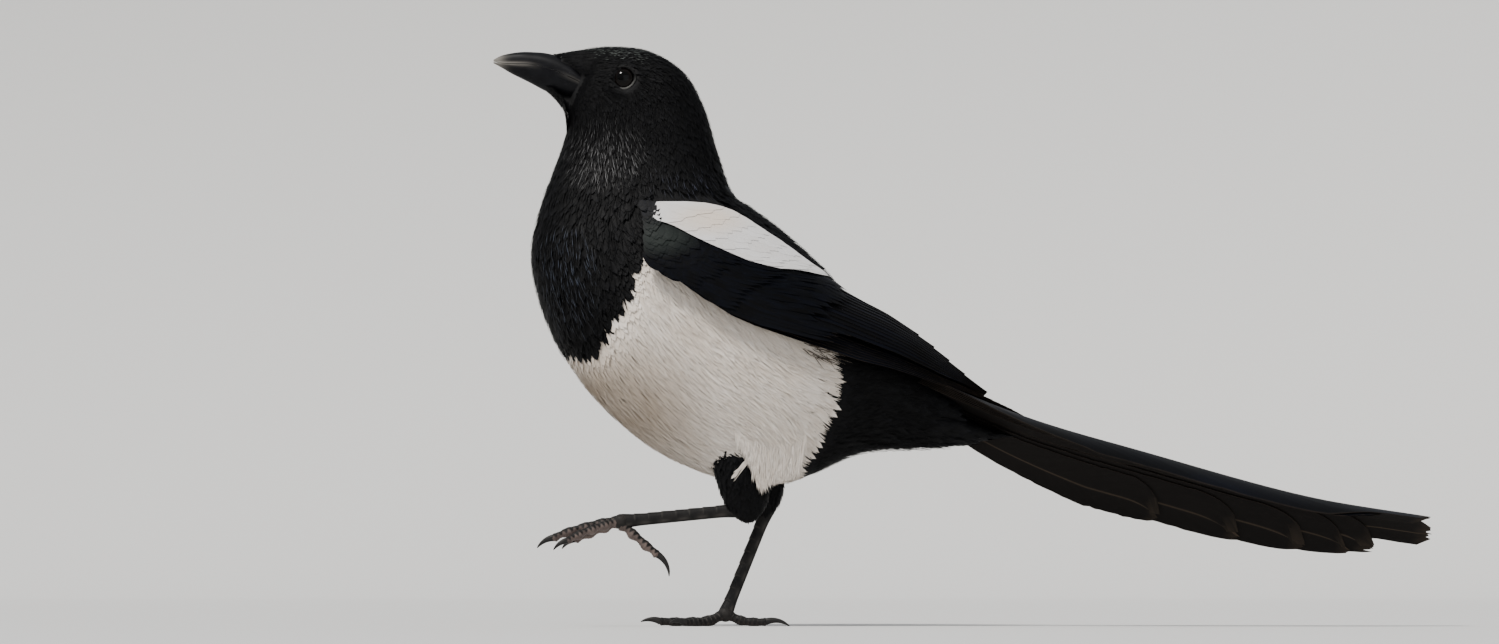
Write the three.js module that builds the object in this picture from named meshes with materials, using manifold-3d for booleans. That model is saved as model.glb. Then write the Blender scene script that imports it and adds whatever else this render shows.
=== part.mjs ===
// Eurasian magpie, life size, as a still model: it walks with its left foot lifted and stands on
// its right one. Millimetres, +Z up. The bird faces -X, its left side is -Y and the floor is z = 0.
// The trunk, neck and head are one loft, parted by thin cuts. The wings and tail are tiers of vanes.
import * as THREE from "three";
import { mergeVertices } from "three/addons/utils/BufferGeometryUtils.js";
import Module from "manifold-3d";

const wasm = await Module();
wasm.setup();

// Gap kept between neighbouring nodes, and the tools' reach past the pieces that they cut.
const GAP = 0.3;
const REACH = 60;

// Trunk, neck and head: one row per cross-section, from the face to the tail base, with
// [back x, back z, underside x, underside z, half width].
const BODY = [
  [-169.7, 240.9, -173.5, 222.0, 6.6],
  [-158.8, 243.2, -168.0, 216.7, 9.8],
  [-147.4, 244.0, -167.6, 211.7, 14.6],
  [-132.7, 241.9, -168.0, 208.3, 17.0],
  [-118.9, 233.5, -169.3, 203.3, 18.0],
  [-110.5, 219.7, -171.4, 197.0, 18.5],
  [-104.2, 199.9, -174.7, 188.6, 20.5],
  [-97.9, 182.3, -178.9, 176.8, 25.0],
  [-89.9, 176.0, -183.1, 155.8, 29.5],
  [-78.1, 167.2, -178.5, 132.7, 33.5],
  [-66.4, 157.1, -168.0, 110.9, 35.5],
  [-56.3, 146.8, -149.1, 88.6, 36.0],
  [-50.2, 137.4, -125.2, 71.0, 35.0],
  [-43.7, 129.4, -97.0, 62.0, 32.0],
  [-34.9, 122.6, -69.7, 63.4, 25.5],
  [-26.5, 117.0, -43.7, 72.8, 18.5],
  [-20.2, 110.6, -17.2, 74.3, 12.5],
];
const BODY_POWER = 2.2;
const BODY_SIDES = 26;
const HEAD_END = 5.5;
const NECK_END = 7.6;
const CUT_HALF = 0.014;
// White flank feathers bulge over the trousers on both sides.
const FLANK = { section: 13.6, angle: 150, length: 1.1, width: 24, rise: 5.5 };

// Borders of the plumage on the trunk, drawn on its side view as [x, z].
const BELLY_BORDER = [
  [-186, 107],
  [-168.4, 110.9],
  [-157.9, 109.2],
  [-151.2, 112.6],
  [-146.2, 123.5],
  [-139.4, 131.9],
  [-137.8, 143.2],
  [-131.5, 157.0],
  [-115.0, 147.5],
  [-96.0, 137.0],
  [-76.0, 129.0],
  [-58.0, 121.0],
  [-51.5, 104.0],
  [-52.9, 90.7],
  [-58.8, 78.1],
  [-67.6, 63.4],
  [-75.0, 44.0],
];
const SHOULDER_BORDER = [
  [-131.8, 156.6],
  [-127.0, 172.0],
  [-117.0, 196.0],
];
const RUMP_BORDER = [
  [-58.5, 121.4],
  [-40.0, 107.0],
  [-8.0, 95.0],
];

// Bill: rows from the tip to the gape with [x, culmen z, mouth z, lower edge z, half width].
const BILL = [
  [-198.9, 238.6, 237.7, 237.0, 0.5],
  [-195.6, 240.3, 237.0, 235.2, 1.6],
  [-191.4, 241.3, 236.7, 232.7, 2.6],
  [-187.2, 241.8, 236.5, 230.6, 3.4],
  [-183.0, 241.8, 236.2, 228.5, 4.2],
  [-176.8, 241.3, 234.8, 225.2, 5.2],
  [-170.5, 239.6, 232.3, 222.9, 6.3],
  [-165.5, 236.6, 230.0, 221.6, 7.3],
  [-160.5, 232.6, 227.4, 221.0, 8.2],
];
const BILL_SIDES = 12;

// Eyes: the ball's centre, its radius, and how flat it is across the head; the lid ring round it.
const EYE = { x: -143.6, y: 13.2, z: 229.9, radius: 4.9, flat: 0.86, turn: -4, tilt: 9 };
const LID = { radius: 4.5, thick: 0.62, out: 3.0 };

// Folded wing: one row per section, from the shoulder to the wing tip, of its outer surface, with
// [ridge x, ridge z, low x, low z, half width, angle of the lower edge in degrees].
const WING = [
  [-100.0, 188.2, -176.8, 176.8, 30.0, 92],
  [-94.1, 179.3, -170.5, 157.9, 35.5, 93],
  [-84.4, 172.2, -170.5, 136.9, 40.0, 96],
  [-73.9, 163.8, -160.0, 115.9, 42.5, 90],
  [-63.4, 154.6, -141.1, 94.9, 43.0, 84],
  [-52.9, 145.3, -115.9, 78.1, 42.5, 74.5],
  [-42.4, 137.8, -88.6, 73.9, 40.5, 72],
  [-31.9, 131.5, -65.5, 76.0, 36.5, 75],
  [-21.4, 124.3, -46.6, 82.3, 30.5, 78],
  [-10.9, 116.3, -29.8, 86.5, 23.5, 81],
  [-0.4, 107.1, -25.6, 72.7, 18.5, 53],
  [10.1, 98.3, -15.1, 71.4, 15.0, 35],
  [20.6, 91.6, -2.9, 71.4, 11.8, 23.4],
];
const WING_POWER = 2.1;
const VANE_THICK = 0.6;
const COVERT_THICK = 0.5;
// White shoulder patch: [section, angle of its upper edge, angle of its lower edge].
const PATCH = [
  [0.35, 78, 89],
  [0.8, 52, 87],
  [1.6, 33, 71],
  [2.5, 24, 59],
  [3.5, 14, 44],
  [4.3, 8, 27],
  [4.75, 6, 13],
];

// Tail: the ridge of its arched upper face as [x, z], the arch's radius and its roll.
const TAIL_RIDGE = [
  [-22.0, 103.8],
  [22.7, 85.4],
  [73.1, 70.6],
  [140.3, 52.2],
  [197.6, 42.6],
];
const TAIL = { root: 0.02, arch: 25, roll: 28, side: 5, pairs: 6, layer: 0.95, half: 11.0, spread: 0.42 };
// How far each feather reaches along the ridge, from the middle pair outwards.
const TAIL_REACH = { left: [0.985, 0.9, 0.82, 0.71, 0.62, 0.53], right: [1.0, 0.93, 0.86, 0.79, 0.68, 0.6] };

// Undertail coverts: rows from inside the trunk to their point, laid out as those of the trunk.
const UNDERTAIL = [
  [-27.0, 97.0, -24.0, 75.5, 11.0],
  [-18.0, 95.0, -14.0, 75.0, 10.5],
  [-6.0, 90.0, -2.0, 76.0, 8.5],
  [7.0, 84.5, 9.5, 77.8, 5.0],
  [18.0, 80.4, 19.5, 79.4, 1.2],
];

// Legs: the heel joint, the joint where the toes meet the shank, and how the trousers lean.
const LEGS = {
  left: { heel: [-93.2, -14.0, 48.7], foot: [-144.5, -13.0, 43.6], trousers: [1.5, -0.11], y: 1.1 },
  right: { heel: [-82.6, 9.0, 51.0], foot: [-101.0, 1.0, 5.0], trousers: [-2.5, -0.18], y: 1.35 },
};
// Trousers from top to bottom: [height over the heel, half width, half depth].
const TROUSERS = [
  [34, 9.5, 15.0],
  [20, 9.5, 13.0],
  [9, 8.0, 10.8],
  [2, 6.0, 8.6],
  [-2.5, 4.2, 5.6],
  [-5.0, 2.4, 2.6],
];
const SHANK = { depth: 2.6, width: 1.9, scutes: 7, step: 0.13, hub: 3.3 };
// Toes, the first pointing back: thickness, heading of the foot on the floor and of the lifted one
// in degrees towards the bird's midline, and their paths as [forward, up] from the foot's joint.
const TOES = [
  { radius: 2.1, heading: { right: 174, left: 180 }, claw: 11, bend: 62 },
  { radius: 1.95, heading: { right: 29, left: 13 }, claw: 7.5, bend: 50 },
  { radius: 2.15, heading: { right: 1, left: 0 }, claw: 8.5, bend: 50 },
  { radius: 1.95, heading: { right: -31, left: -13 }, claw: 7.5, bend: 50 },
];
const TOE_PATHS = {
  right: [
    [[1.5, -0.5], [6.5, -2.6], [12, -3.3], [17.5, -3.2]],
    [[1.5, -0.5], [7.5, -2.9], [14, -3.4], [20, -3.2]],
    [[1.5, -0.5], [7.5, -2.7], [14, -3.2], [21, -3.2], [28, -3.0]],
    [[1.5, -0.5], [7, -2.9], [12, -3.4], [17, -3.4], [22, -3.2]],
  ],
  left: [
    [[0.5, -1.5], [5, -5.2], [10.5, -10.0], [15.5, -14.0]],
    [[1.5, -0.6], [7, -2.6], [13.5, -5.0], [20, -7.6]],
    [[1.5, 0.3], [8, -0.8], [15, -2.4], [22, -4.4], [28.5, -7.0]],
    [[1.5, 0.0], [7, -1.6], [12.5, -3.4], [18, -5.6], [23, -8.2]],
  ],
};
const CLAW_PITCH = { right: [20, 22, 24, 22], left: [-30, -8, -6, -8] };

function lerp(a, b, t) {
  return a + (b - a) * t;
}

// Uniform Catmull-Rom curve through rows of numbers at 0, 1, 2 and so on; the ends run on straight.
function curveAt(rows, t) {
  const last = rows.length - 1;
  const i = Math.min(Math.max(Math.floor(t), 0), last - 1);
  const f = t - i;
  const before = i > 0 ? rows[i - 1] : rows[0].map((v, k) => 2 * v - rows[1][k]);
  const after = i + 2 <= last ? rows[i + 2] : rows[last].map((v, k) => 2 * v - rows[last - 1][k]);
  return rows[i].map((v, k) => {
    const a = before[k];
    const c = rows[i + 1][k];
    const d = after[k];
    const square = (2 * a - 5 * v + 4 * c - d) * f * f;
    const cube = (3 * v - a - 3 * c + d) * f * f * f;
    return 0.5 * (2 * v + (c - a) * f + square + cube);
  });
}

// Straight interpolation in a table whose first column rises.
function tableAt(rows, x) {
  let i = 0;
  while (i < rows.length - 2 && rows[i + 1][0] < x) i += 1;
  const t = THREE.MathUtils.clamp((x - rows[i][0]) / (rows[i + 1][0] - rows[i][0]), 0, 1);
  return rows[i].map((v, k) => lerp(v, rows[i + 1][k], t));
}

// A closed solid from points and triangles; a set that faces inwards is turned round.
function solid(points, triangles) {
  let volume = 0;
  triangles.forEach(([a, b, c]) => {
    volume += points[a].dot(new THREE.Vector3().crossVectors(points[b], points[c]));
  });
  const order = volume < 0 ? ([a, b, c]) => [a, c, b] : (t) => t;
  return new wasm.Manifold(
    new wasm.Mesh({
      numProp: 3,
      vertProperties: new Float32Array(points.flatMap((p) => p.toArray())),
      triVerts: new Uint32Array(triangles.flatMap(order)),
    }),
  );
}

// A three.js geometry as a solid.
function fromGeometry(geometry) {
  geometry.deleteAttribute("normal");
  geometry.deleteAttribute("uv");
  const merged = mergeVertices(geometry, 1e-4);
  return new wasm.Manifold(
    new wasm.Mesh({
      numProp: 3,
      vertProperties: merged.attributes.position.array,
      triVerts: new Uint32Array(merged.index.array),
    }),
  );
}

// A skin through rings of equally many points, closed at both ends by a fan.
function loft(rings) {
  const sides = rings[0].length;
  const points = rings.flat();
  const triangles = [];
  for (let i = 0; i + 1 < rings.length; i += 1) {
    for (let j = 0; j < sides; j += 1) {
      const a = i * sides + j;
      const b = i * sides + ((j + 1) % sides);
      triangles.push([a, b, b + sides], [a, b + sides, a + sides]);
    }
  }
  [0, rings.length - 1].forEach((i) => {
    const middle = points.length;
    const sum = rings[i].reduce((total, p) => total.add(p), new THREE.Vector3());
    points.push(sum.divideScalar(sides));
    for (let j = 0; j < sides; j += 1) {
      const a = i * sides + j;
      const b = i * sides + ((j + 1) % sides);
      triangles.push(i === 0 ? [middle, b, a] : [middle, a, b]);
    }
  });
  return solid(points, triangles);
}

// A plate between two grids of points of the same size, split into triangles alike.
function plate(lower, upper) {
  const rows = lower.length;
  const columns = lower[0].length;
  const points = [...lower.flat(), ...upper.flat()];
  const over = rows * columns;
  const triangles = [];
  for (let i = 0; i + 1 < rows; i += 1) {
    for (let j = 0; j + 1 < columns; j += 1) {
      const a = i * columns + j;
      const c = a + columns + 1;
      triangles.push([a, c, a + 1], [a, a + columns, c]);
      triangles.push([over + a, over + a + 1, over + c], [over + a, over + c, over + a + columns]);
    }
  }
  const rim = [];
  for (let j = 0; j < columns; j += 1) rim.push(j);
  for (let i = 1; i < rows; i += 1) rim.push(i * columns + columns - 1);
  for (let j = columns - 2; j >= 0; j -= 1) rim.push((rows - 1) * columns + j);
  for (let i = rows - 2; i > 0; i -= 1) rim.push(i * columns);
  rim.forEach((a, k) => {
    const b = rim[(k + 1) % rim.length];
    triangles.push([a, b, over + b], [a, over + b, over + a]);
  });
  return solid(points, triangles);
}

// A narrow vane is flat from its one edge to its other.
const EDGES = [-1, 1];

// A thin feather: place(t, u) gives a point of its middle surface and the way out from it.
function vane(place, rows, columns, thick = VANE_THICK) {
  const lower = [];
  const upper = [];
  rows.forEach((t) => {
    const cells = columns.map((u) => place(t, u));
    lower.push(cells.map(([point, out]) => point.clone().addScaledVector(out, -thick / 2)));
    upper.push(cells.map(([point, out]) => point.clone().addScaledVector(out, thick / 2)));
  });
  return plate(lower, upper);
}

// How wide a feather is at t from root to tip, as a share of its full width: round at the end.
function vaneWidth(t, roundFrom = 0.8, root = 0.75) {
  const end = Math.max(0, (t - roundFrom) / (1 - roundFrom));
  return Math.sqrt(1 - 0.97 * end * end) * lerp(root, 1, Math.min(1, t / 0.25));
}

// A tube with an elliptic section: rows of { centre, across, deep }, with side the way across, and
// turn the share of a side by which its corners are turned.
function tube(rows, side, sides, turn = 0) {
  const rings = rows.map((row, i) => {
    const before = rows[Math.max(i - 1, 0)].centre;
    const after = rows[Math.min(i + 1, rows.length - 1)].centre;
    const along = after.clone().sub(before).normalize();
    const across = side.clone().addScaledVector(along, -side.dot(along)).normalize();
    const up = new THREE.Vector3().crossVectors(across, along);
    return Array.from({ length: sides }, (_, j) => {
      const angle = (2 * Math.PI * (j + turn)) / sides;
      return row.centre
        .clone()
        .addScaledVector(across, row.across * Math.cos(angle))
        .addScaledVector(up, row.deep * Math.sin(angle));
    });
  });
  return loft(rings);
}

// A prism over a side view outline of [x, z], between two places across the bird.
function prism(outline, from, to) {
  const shape = new THREE.Shape(outline.map(([x, z]) => new THREE.Vector2(x, z)));
  const geometry = new THREE.ExtrudeGeometry(shape, { depth: to - from, bevelEnabled: false });
  geometry.rotateX(Math.PI / 2);
  geometry.translate(0, to, 0);
  return fromGeometry(geometry);
}

// A thin wall that stands along a line of [x, z] and reaches across the bird.
function wall(line) {
  const edge = (sign) =>
    line.map(([x, z], i) => {
      const [ax, az] = line[Math.max(i - 1, 0)];
      const [bx, bz] = line[Math.min(i + 1, line.length - 1)];
      const length = Math.hypot(bx - ax, bz - az);
      return [x - (sign * GAP * (bz - az)) / (2 * length), z + (sign * GAP * (bx - ax)) / (2 * length)];
    });
  return prism([...edge(1), ...edge(-1).reverse()], -REACH, REACH);
}

function join(parts) {
  return parts.reduce((whole, part) => whole.add(part));
}

// The largest closed surface of a solid.
function largest(whole) {
  return whole.decompose().reduce((best, body) => (body.volume() > best.volume() ? body : best));
}

// The body of a cut solid that holds a point.
function bodyAt(bodies, [x, y, z]) {
  const probe = fromGeometry(new THREE.BoxGeometry(1, 1, 1).translate(x, y, z));
  return bodies.find((body) => body.intersect(probe).volume() > 0);
}

function mirrored(whole) {
  return whole.mirror([0, 1, 0]);
}

// Rounded cross-section between a back and an underside point, at an angle from the back; a
// positive angle is the left side.
function sectionPoint([backX, backZ, lowX, lowZ, half], angle, power, out = 0) {
  const cos = Math.cos(angle);
  const sin = Math.sin(angle);
  const c = Math.sign(cos) * Math.abs(cos) ** (2 / power);
  const s = Math.sign(sin) * Math.abs(sin) ** (2 / power);
  const halfX = (backX - lowX) / 2;
  const halfZ = (backZ - lowZ) / 2;
  const grow = 1 + out / Math.hypot(halfX, halfZ);
  return new THREE.Vector3(
    (backX + lowX) / 2 + halfX * grow * c,
    -(half + out) * s,
    (backZ + lowZ) / 2 + halfZ * grow * c,
  );
}

function bodyPoint(section, angle, out = 0) {
  const row = curveAt(BODY, section);
  const point = sectionPoint(row, angle, BODY_POWER, out);
  const centre = new THREE.Vector3((row[0] + row[2]) / 2, 0, (row[1] + row[3]) / 2);
  const degrees = Math.abs(THREE.MathUtils.radToDeg(angle));
  const near =
    ((section - FLANK.section) / FLANK.length) ** 2 + ((degrees - FLANK.angle) / FLANK.width) ** 2;
  const away = point.clone().sub(centre).normalize();
  return point.addScaledVector(away, FLANK.rise * Math.exp(-near));
}

// A length of the body's loft, from one section to another.
function bodyLength(from, to, steps, out = 0) {
  const rings = Array.from({ length: steps + 1 }, (_, i) => {
    const section = lerp(from, to, i / steps);
    return Array.from({ length: BODY_SIDES }, (_, j) => {
      const angle = ((2 * Math.PI * (j + 0.5)) / BODY_SIDES - Math.PI);
      return bodyPoint(section, angle, out);
    });
  });
  return loft(rings);
}

// One half of the bill, grown by out on every side.
function mandible(upper, out = 0) {
  const rings = BILL.map(([x, culmen, mouth, low, half], i) => {
    const lip = upper ? mouth + GAP / 2 : mouth - GAP / 2;
    const height = (upper ? culmen - lip : lip - low) + 2 * out;
    const sign = upper ? 1 : -1;
    const end = i === 0 ? -out : i === BILL.length - 1 ? out : 0;
    return Array.from({ length: BILL_SIDES }, (_, j) => {
      const angle = (Math.PI * j) / (BILL_SIDES - 1);
      const rise = Math.sin(angle) ** 0.85;
      return new THREE.Vector3(x + end, (half + out) * Math.cos(angle), lip + sign * (height * rise - out));
    });
  });
  return loft(rings);
}

// Turns a shape that faces -Y to the eye's way on the left side, and puts it in its place.
function atEye(geometry) {
  geometry.rotateX(THREE.MathUtils.degToRad(-EYE.tilt));
  geometry.rotateZ(THREE.MathUtils.degToRad(EYE.turn));
  geometry.translate(EYE.x, -EYE.y, EYE.z);
  return fromGeometry(geometry);
}

// The left eyeball, grown by out.
function eyeball(out = 0) {
  return atEye(new THREE.IcosahedronGeometry(EYE.radius + out, 2).scale(1, EYE.flat, 1));
}

function eyelid() {
  const ring = new THREE.TorusGeometry(LID.radius, LID.thick, 4, 15);
  return atEye(ring.rotateX(Math.PI / 2).translate(0, -LID.out, 0));
}

// Bristle-like feathers that lie forward over the bill's base, from the forehead round to the chin.
function billTufts() {
  const angles = [-68, -24, 24, 68, 150, 180, 210];
  return angles.map((degrees) => {
    const angle = THREE.MathUtils.degToRad(degrees);
    const chin = Math.abs(degrees) > 90;
    const from = chin ? -163 : -160;
    const reach = chin ? 14 : 17 - 0.045 * Math.abs(degrees);
    const place = (t, u) => {
      const x = from - reach * t;
      const [, culmen, , low, half] = tableAt(BILL, x);
      const lift = lerp(0.6, 1.15, Math.sin(Math.PI * t));
      const turn = angle + u * 0.32 * (1 - 0.75 * t);
      const middle = (culmen + low) / 2;
      const high = (culmen - low) / 2 + lift;
      const out = new THREE.Vector3(0, -Math.sin(turn), Math.cos(turn));
      return [new THREE.Vector3(x, -(half + lift) * Math.sin(turn), middle + high * Math.cos(turn)), out];
    };
    return vane(place, [0, 0.5, 1], EDGES);
  });
}

// A point of the wing at a section, a share of the way from ridge to lower edge, and a height.
function wingPoint(section, share, height) {
  const row = curveAt(WING, section);
  const angle = THREE.MathUtils.degToRad(share * row[5]);
  return sectionPoint(row, angle, WING_POWER, height);
}

function wingPlace(section, share, height) {
  const step = 0.02;
  const along = wingPoint(section + step, share, height).sub(wingPoint(section - step, share, height));
  const down = wingPoint(section, share + step, height).sub(wingPoint(section, share - step, height));
  return [wingPoint(section, share, height), new THREE.Vector3().crossVectors(down, along).normalize()];
}

// A feather on the left wing. It runs from one section to another, centred on the share mid(t),
// spread to both sides, at a height that rises from its upper edge to its lower one.
function wingVane({ from, to, mid, spread, root, height, rise, rows, thick }) {
  const place = (t, u) => {
    const section = lerp(from, to, t);
    const half = spread(t) * vaneWidth(t, 0.8, root);
    return wingPlace(section, mid(t) + u * half, height(section, t) + rise * u);
  };
  return vane(place, rows, EDGES, thick);
}

// A thick plate on the left wing between two sections, two shares and two heights.
function wingPad(from, to, shares, low, high, rows, columns) {
  const grid = (height) =>
    Array.from({ length: rows }, (_, i) => {
      const section = lerp(from, to, i / (rows - 1));
      const [top, bottom] = shares(section);
      return Array.from({ length: columns }, (_, j) =>
        wingPoint(section, lerp(top, bottom, j / (columns - 1)), height(section)),
      );
    });
  return plate(grid(low), grid(high));
}

const FLIGHT_ROWS = [0, 0.22, 0.44, 0.66, 0.88, 1];
const COVERT_ROWS = [0, 0.5, 0.88, 1];
const TAIL_ROWS = [0, 0.2, 0.5, 0.9, 1];

// Nine secondaries, of which the first three are the short inner ones on top.
function secondaries() {
  const count = 9;
  const height = (section) => lerp(-4.1, -1.3, THREE.MathUtils.clamp((section - 5) / 4.5, 0, 1));
  const feathers = Array.from({ length: count }, (_, i) => {
    const k = i / (count - 1);
    const to = i < 3 ? 8.3 + 0.75 * i : 10.85 - 0.17 * (i - 3);
    return wingVane({
      from: 3.6,
      to,
      mid: (t) => lerp(lerp(0.34, 0.74, k), lerp(0.12, 0.68, k), Math.min(1, 1.6 * t)),
      spread: () => 0.08,
      root: 0.6,
      height,
      rise: 1.05,
      rows: FLIGHT_ROWS,
      thick: VANE_THICK,
    });
  });
  const root = wingPad(3.5, 3.85, () => [0.26, 0.785], () => -5.6, () => -2.65, 2, 5);
  return join([root, ...feathers]);
}

// Folded primaries as one plain strip along the wing's lower edge, out to their tips.
function primaries() {
  const height = (section) => lerp(-4.95, -1.4, THREE.MathUtils.clamp((section - 5) / 7, 0, 1) ** 1.2);
  const taper = (section) => THREE.MathUtils.clamp((section - 9) / 3, 0, 1) ** 2;
  const shares = (section) => [lerp(0.82, 0.96, taper(section)), 1.02];
  return wingPad(3.5, 12, shares, (section) => height(section) - 0.2, (section) => height(section) + 1, 14, 4);
}

// The height of a small feather: its root is sunk in the pad and its tip lies over the next tier.
function sunkRoot(section, t) {
  return lerp(-1.95, 0, t);
}

// The arm's pad with three tiers of coverts that reach back over the roots of the flight feathers.
function coverts() {
  const edge = (section) => tableAt(PATCH, section)[2] / curveAt(WING, section)[5] + 0.035;
  const pad = wingPad(0.95, 3.47, (section) => [edge(section), 1.0], () => -4.8, () => -1.2, 4, 5);
  const tiers = [
    { count: 6, from: 2.9, length: 2.5 },
    { count: 4, from: 1.9, length: 1.9 },
    { count: 2, from: 1.15, length: 1.5 },
  ];
  const feathers = tiers.flatMap(({ count, from, length }) => {
    const spread = (0.6 * (1 - edge(from))) / count;
    return Array.from({ length: count }, (_, i) =>
      wingVane({
        from,
        to: from + length,
        mid: () => lerp(edge(from) + spread, 0.98 - 0.5 * spread, i / (count - 1)),
        spread: () => spread,
        root: 0.75,
        height: sunkRoot,
        rise: 0.38,
        rows: COVERT_ROWS,
        thick: COVERT_THICK,
      }),
    );
  });
  return join([pad, ...feathers]);
}

// White shoulder feathers in three ranks on a thin pad.
function scapulars() {
  const edges = (section) => {
    const [, top, low] = tableAt(PATCH, section);
    const full = curveAt(WING, section)[5];
    return [top / full, low / full];
  };
  const pad = wingPad(0.4, 4.6, edges, () => -2.1, () => -1.3, 6, 3);
  const ranks = [
    { from: 0.45, to: 2.1, count: 2 },
    { from: 1.5, to: 3.4, count: 3 },
    { from: 2.7, to: 4.75, count: 3 },
  ];
  const feathers = ranks.flatMap(({ from, to, count }) =>
    Array.from({ length: count }, (_, i) =>
      wingVane({
        from,
        to,
        mid: (t) => {
          const [top, low] = edges(lerp(from, to, t));
          return lerp(top, low, (i + 0.5) / count);
        },
        spread: (t) => {
          const [top, low] = edges(lerp(from, to, t));
          return (0.62 * (low - top)) / count;
        },
        root: 0.75,
        height: sunkRoot,
        rise: 0.4,
        rows: COVERT_ROWS,
        thick: COVERT_THICK,
      }),
    ),
  );
  return join([pad, ...feathers]);
}

// A point of the tail at a share of its length, a way round the arch and a height above it.
function tailPlace(share, lateral, height) {
  const last = TAIL_RIDGE.length - 1;
  const [x, z] = curveAt(TAIL_RIDGE, share * last);
  const [nextX, nextZ] = curveAt(TAIL_RIDGE, share * last + 0.01);
  const along = new THREE.Vector3(nextX - x, 0, nextZ - z).normalize();
  const up = new THREE.Vector3(-along.z, 0, along.x);
  const roll = THREE.MathUtils.degToRad(TAIL.roll);
  const angle = lateral / TAIL.arch + roll;
  const across = (TAIL.arch + height) * Math.sin(angle) - TAIL.arch * Math.sin(roll);
  const rise = (TAIL.arch + height) * Math.cos(angle) - TAIL.arch * Math.cos(roll);
  const point = new THREE.Vector3(x, TAIL.side * share + across, z).addScaledVector(up, rise);
  const out = new THREE.Vector3(0, Math.sin(angle), 0).addScaledVector(up, Math.cos(angle));
  return [point, out];
}

// Twelve graduated tail feathers: the middle pair on top, the outer ones shorter and lower.
function tail() {
  const feathers = [];
  for (let i = 0; i < TAIL.pairs; i += 1) {
    for (const side of [-1, 1]) {
      const reach = (side < 0 ? TAIL_REACH.left : TAIL_REACH.right)[i];
      const layer = -TAIL.layer * (i + (side < 0 ? 1 : 0)) - VANE_THICK / 2;
      const place = (t, u) => {
        const share = reach * lerp(TAIL.root, 1, t);
        const fan = Math.min(1, share / TAIL.spread) ** 0.8;
        const centre = side * lerp(4.9 + 0.3 * i, 8.8 + 2.9 * i, fan);
        const width = TAIL.half * lerp(0.4, 1, fan) * vaneWidth(t, 0.9, 1);
        return tailPlace(share, centre + u * width, layer);
      };
      feathers.push(vane(place, TAIL_ROWS, [-1, -0.33, 0.33, 1]));
    }
  }
  const grid = (height) =>
    [0, 0.07].map((share) => [-11, -4, 4, 11].map((lateral) => tailPlace(share, lateral, height)[0]));
  return join([plate(grid(-7), grid(0.3)), ...feathers]);
}

// Undertail coverts: a wedge from the trunk's end that tapers to a point under the tail.
function undertail() {
  const rings = UNDERTAIL.map((row) =>
    Array.from({ length: 12 }, (_, j) => sectionPoint(row, ((j + 0.5) * Math.PI) / 6, BODY_POWER)),
  );
  const roof = (height) =>
    [-0.05, 0.06, 0.17, 0.28].map((share) =>
      [-22, -13, -4, 4, 13, 22].map((lateral) => tailPlace(share, lateral, height)[0]),
    );
  return loft(rings).subtract(plate(roof(-7.0 - GAP), roof(2)));
}

// Feathered leg from the trunk down over the heel.
function trousers({ heel, trousers: [offset, lean], y: spread }) {
  const [x, y, z] = heel;
  const rows = TROUSERS.map(([up, across, deep]) => ({
    centre: new THREE.Vector3(x + offset + lean * up, lerp(y, y * spread, up / 20), z + up),
    across,
    deep,
  }));
  return tube(rows, new THREE.Vector3(0, 1, 0), 14);
}

// Shank from the heel to the toes, with plates raised down its length, grown by out.
function shank({ heel, foot }, out = 0) {
  const from = new THREE.Vector3(...heel);
  const to = new THREE.Vector3(...foot);
  const rows = [];
  for (let i = 0; i <= SHANK.scutes; i += 1) {
    [0.04, 0.96].forEach((part) => {
      const t = (i + part) / (SHANK.scutes + 1);
      const ends = 1 + 0.35 * Math.exp(-((t / 0.12) ** 2)) + 0.2 * Math.exp(-(((1 - t) / 0.1) ** 2));
      const step = part > 0.5 ? SHANK.step : -SHANK.step;
      rows.push({
        centre: from.clone().lerp(to, t),
        across: SHANK.width * ends + out,
        deep: SHANK.depth * ends + step + out,
      });
    });
  }
  const hub = new THREE.IcosahedronGeometry(SHANK.hub + out, 1).translate(...foot);
  return tube(rows, new THREE.Vector3(0, 1, 0), 8).add(fromGeometry(hub));
}

// The way a toe points and the way across it.
function headingOf(side, digit) {
  const degrees = TOES[digit].heading[side] * (side === "right" ? 1 : -1);
  const angle = THREE.MathUtils.degToRad(degrees);
  const forward = new THREE.Vector3(-Math.cos(angle), -Math.sin(angle), 0);
  return [forward, new THREE.Vector3(-forward.y, forward.x, 0)];
}

function toeCentre(side, digit, t) {
  const [along, up] = curveAt(TOE_PATHS[side][digit], t);
  const centre = new THREE.Vector3(...LEGS[side].foot).addScaledVector(headingOf(side, digit)[0], along);
  centre.z += up;
  return centre;
}

// A toe with a pad under each joint, grown by out.
function toe(side, digit, out = 0) {
  const steps = 2 * (TOE_PATHS[side][digit].length - 1);
  const rows = Array.from({ length: steps + 1 }, (_, i) => {
    const t = i / 2;
    const pad = 1 + 0.1 * Math.cos(2 * Math.PI * t);
    const radius = TOES[digit].radius * lerp(1, 0.8, i / steps) * pad + out;
    return { centre: toeCentre(side, digit, t), across: radius, deep: radius };
  });
  const end = rows[steps].centre.clone().sub(rows[steps - 1].centre).normalize();
  rows[steps].centre.addScaledVector(end, out);
  return tube(rows, headingOf(side, digit)[1], 8, 0.5);
}

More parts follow.
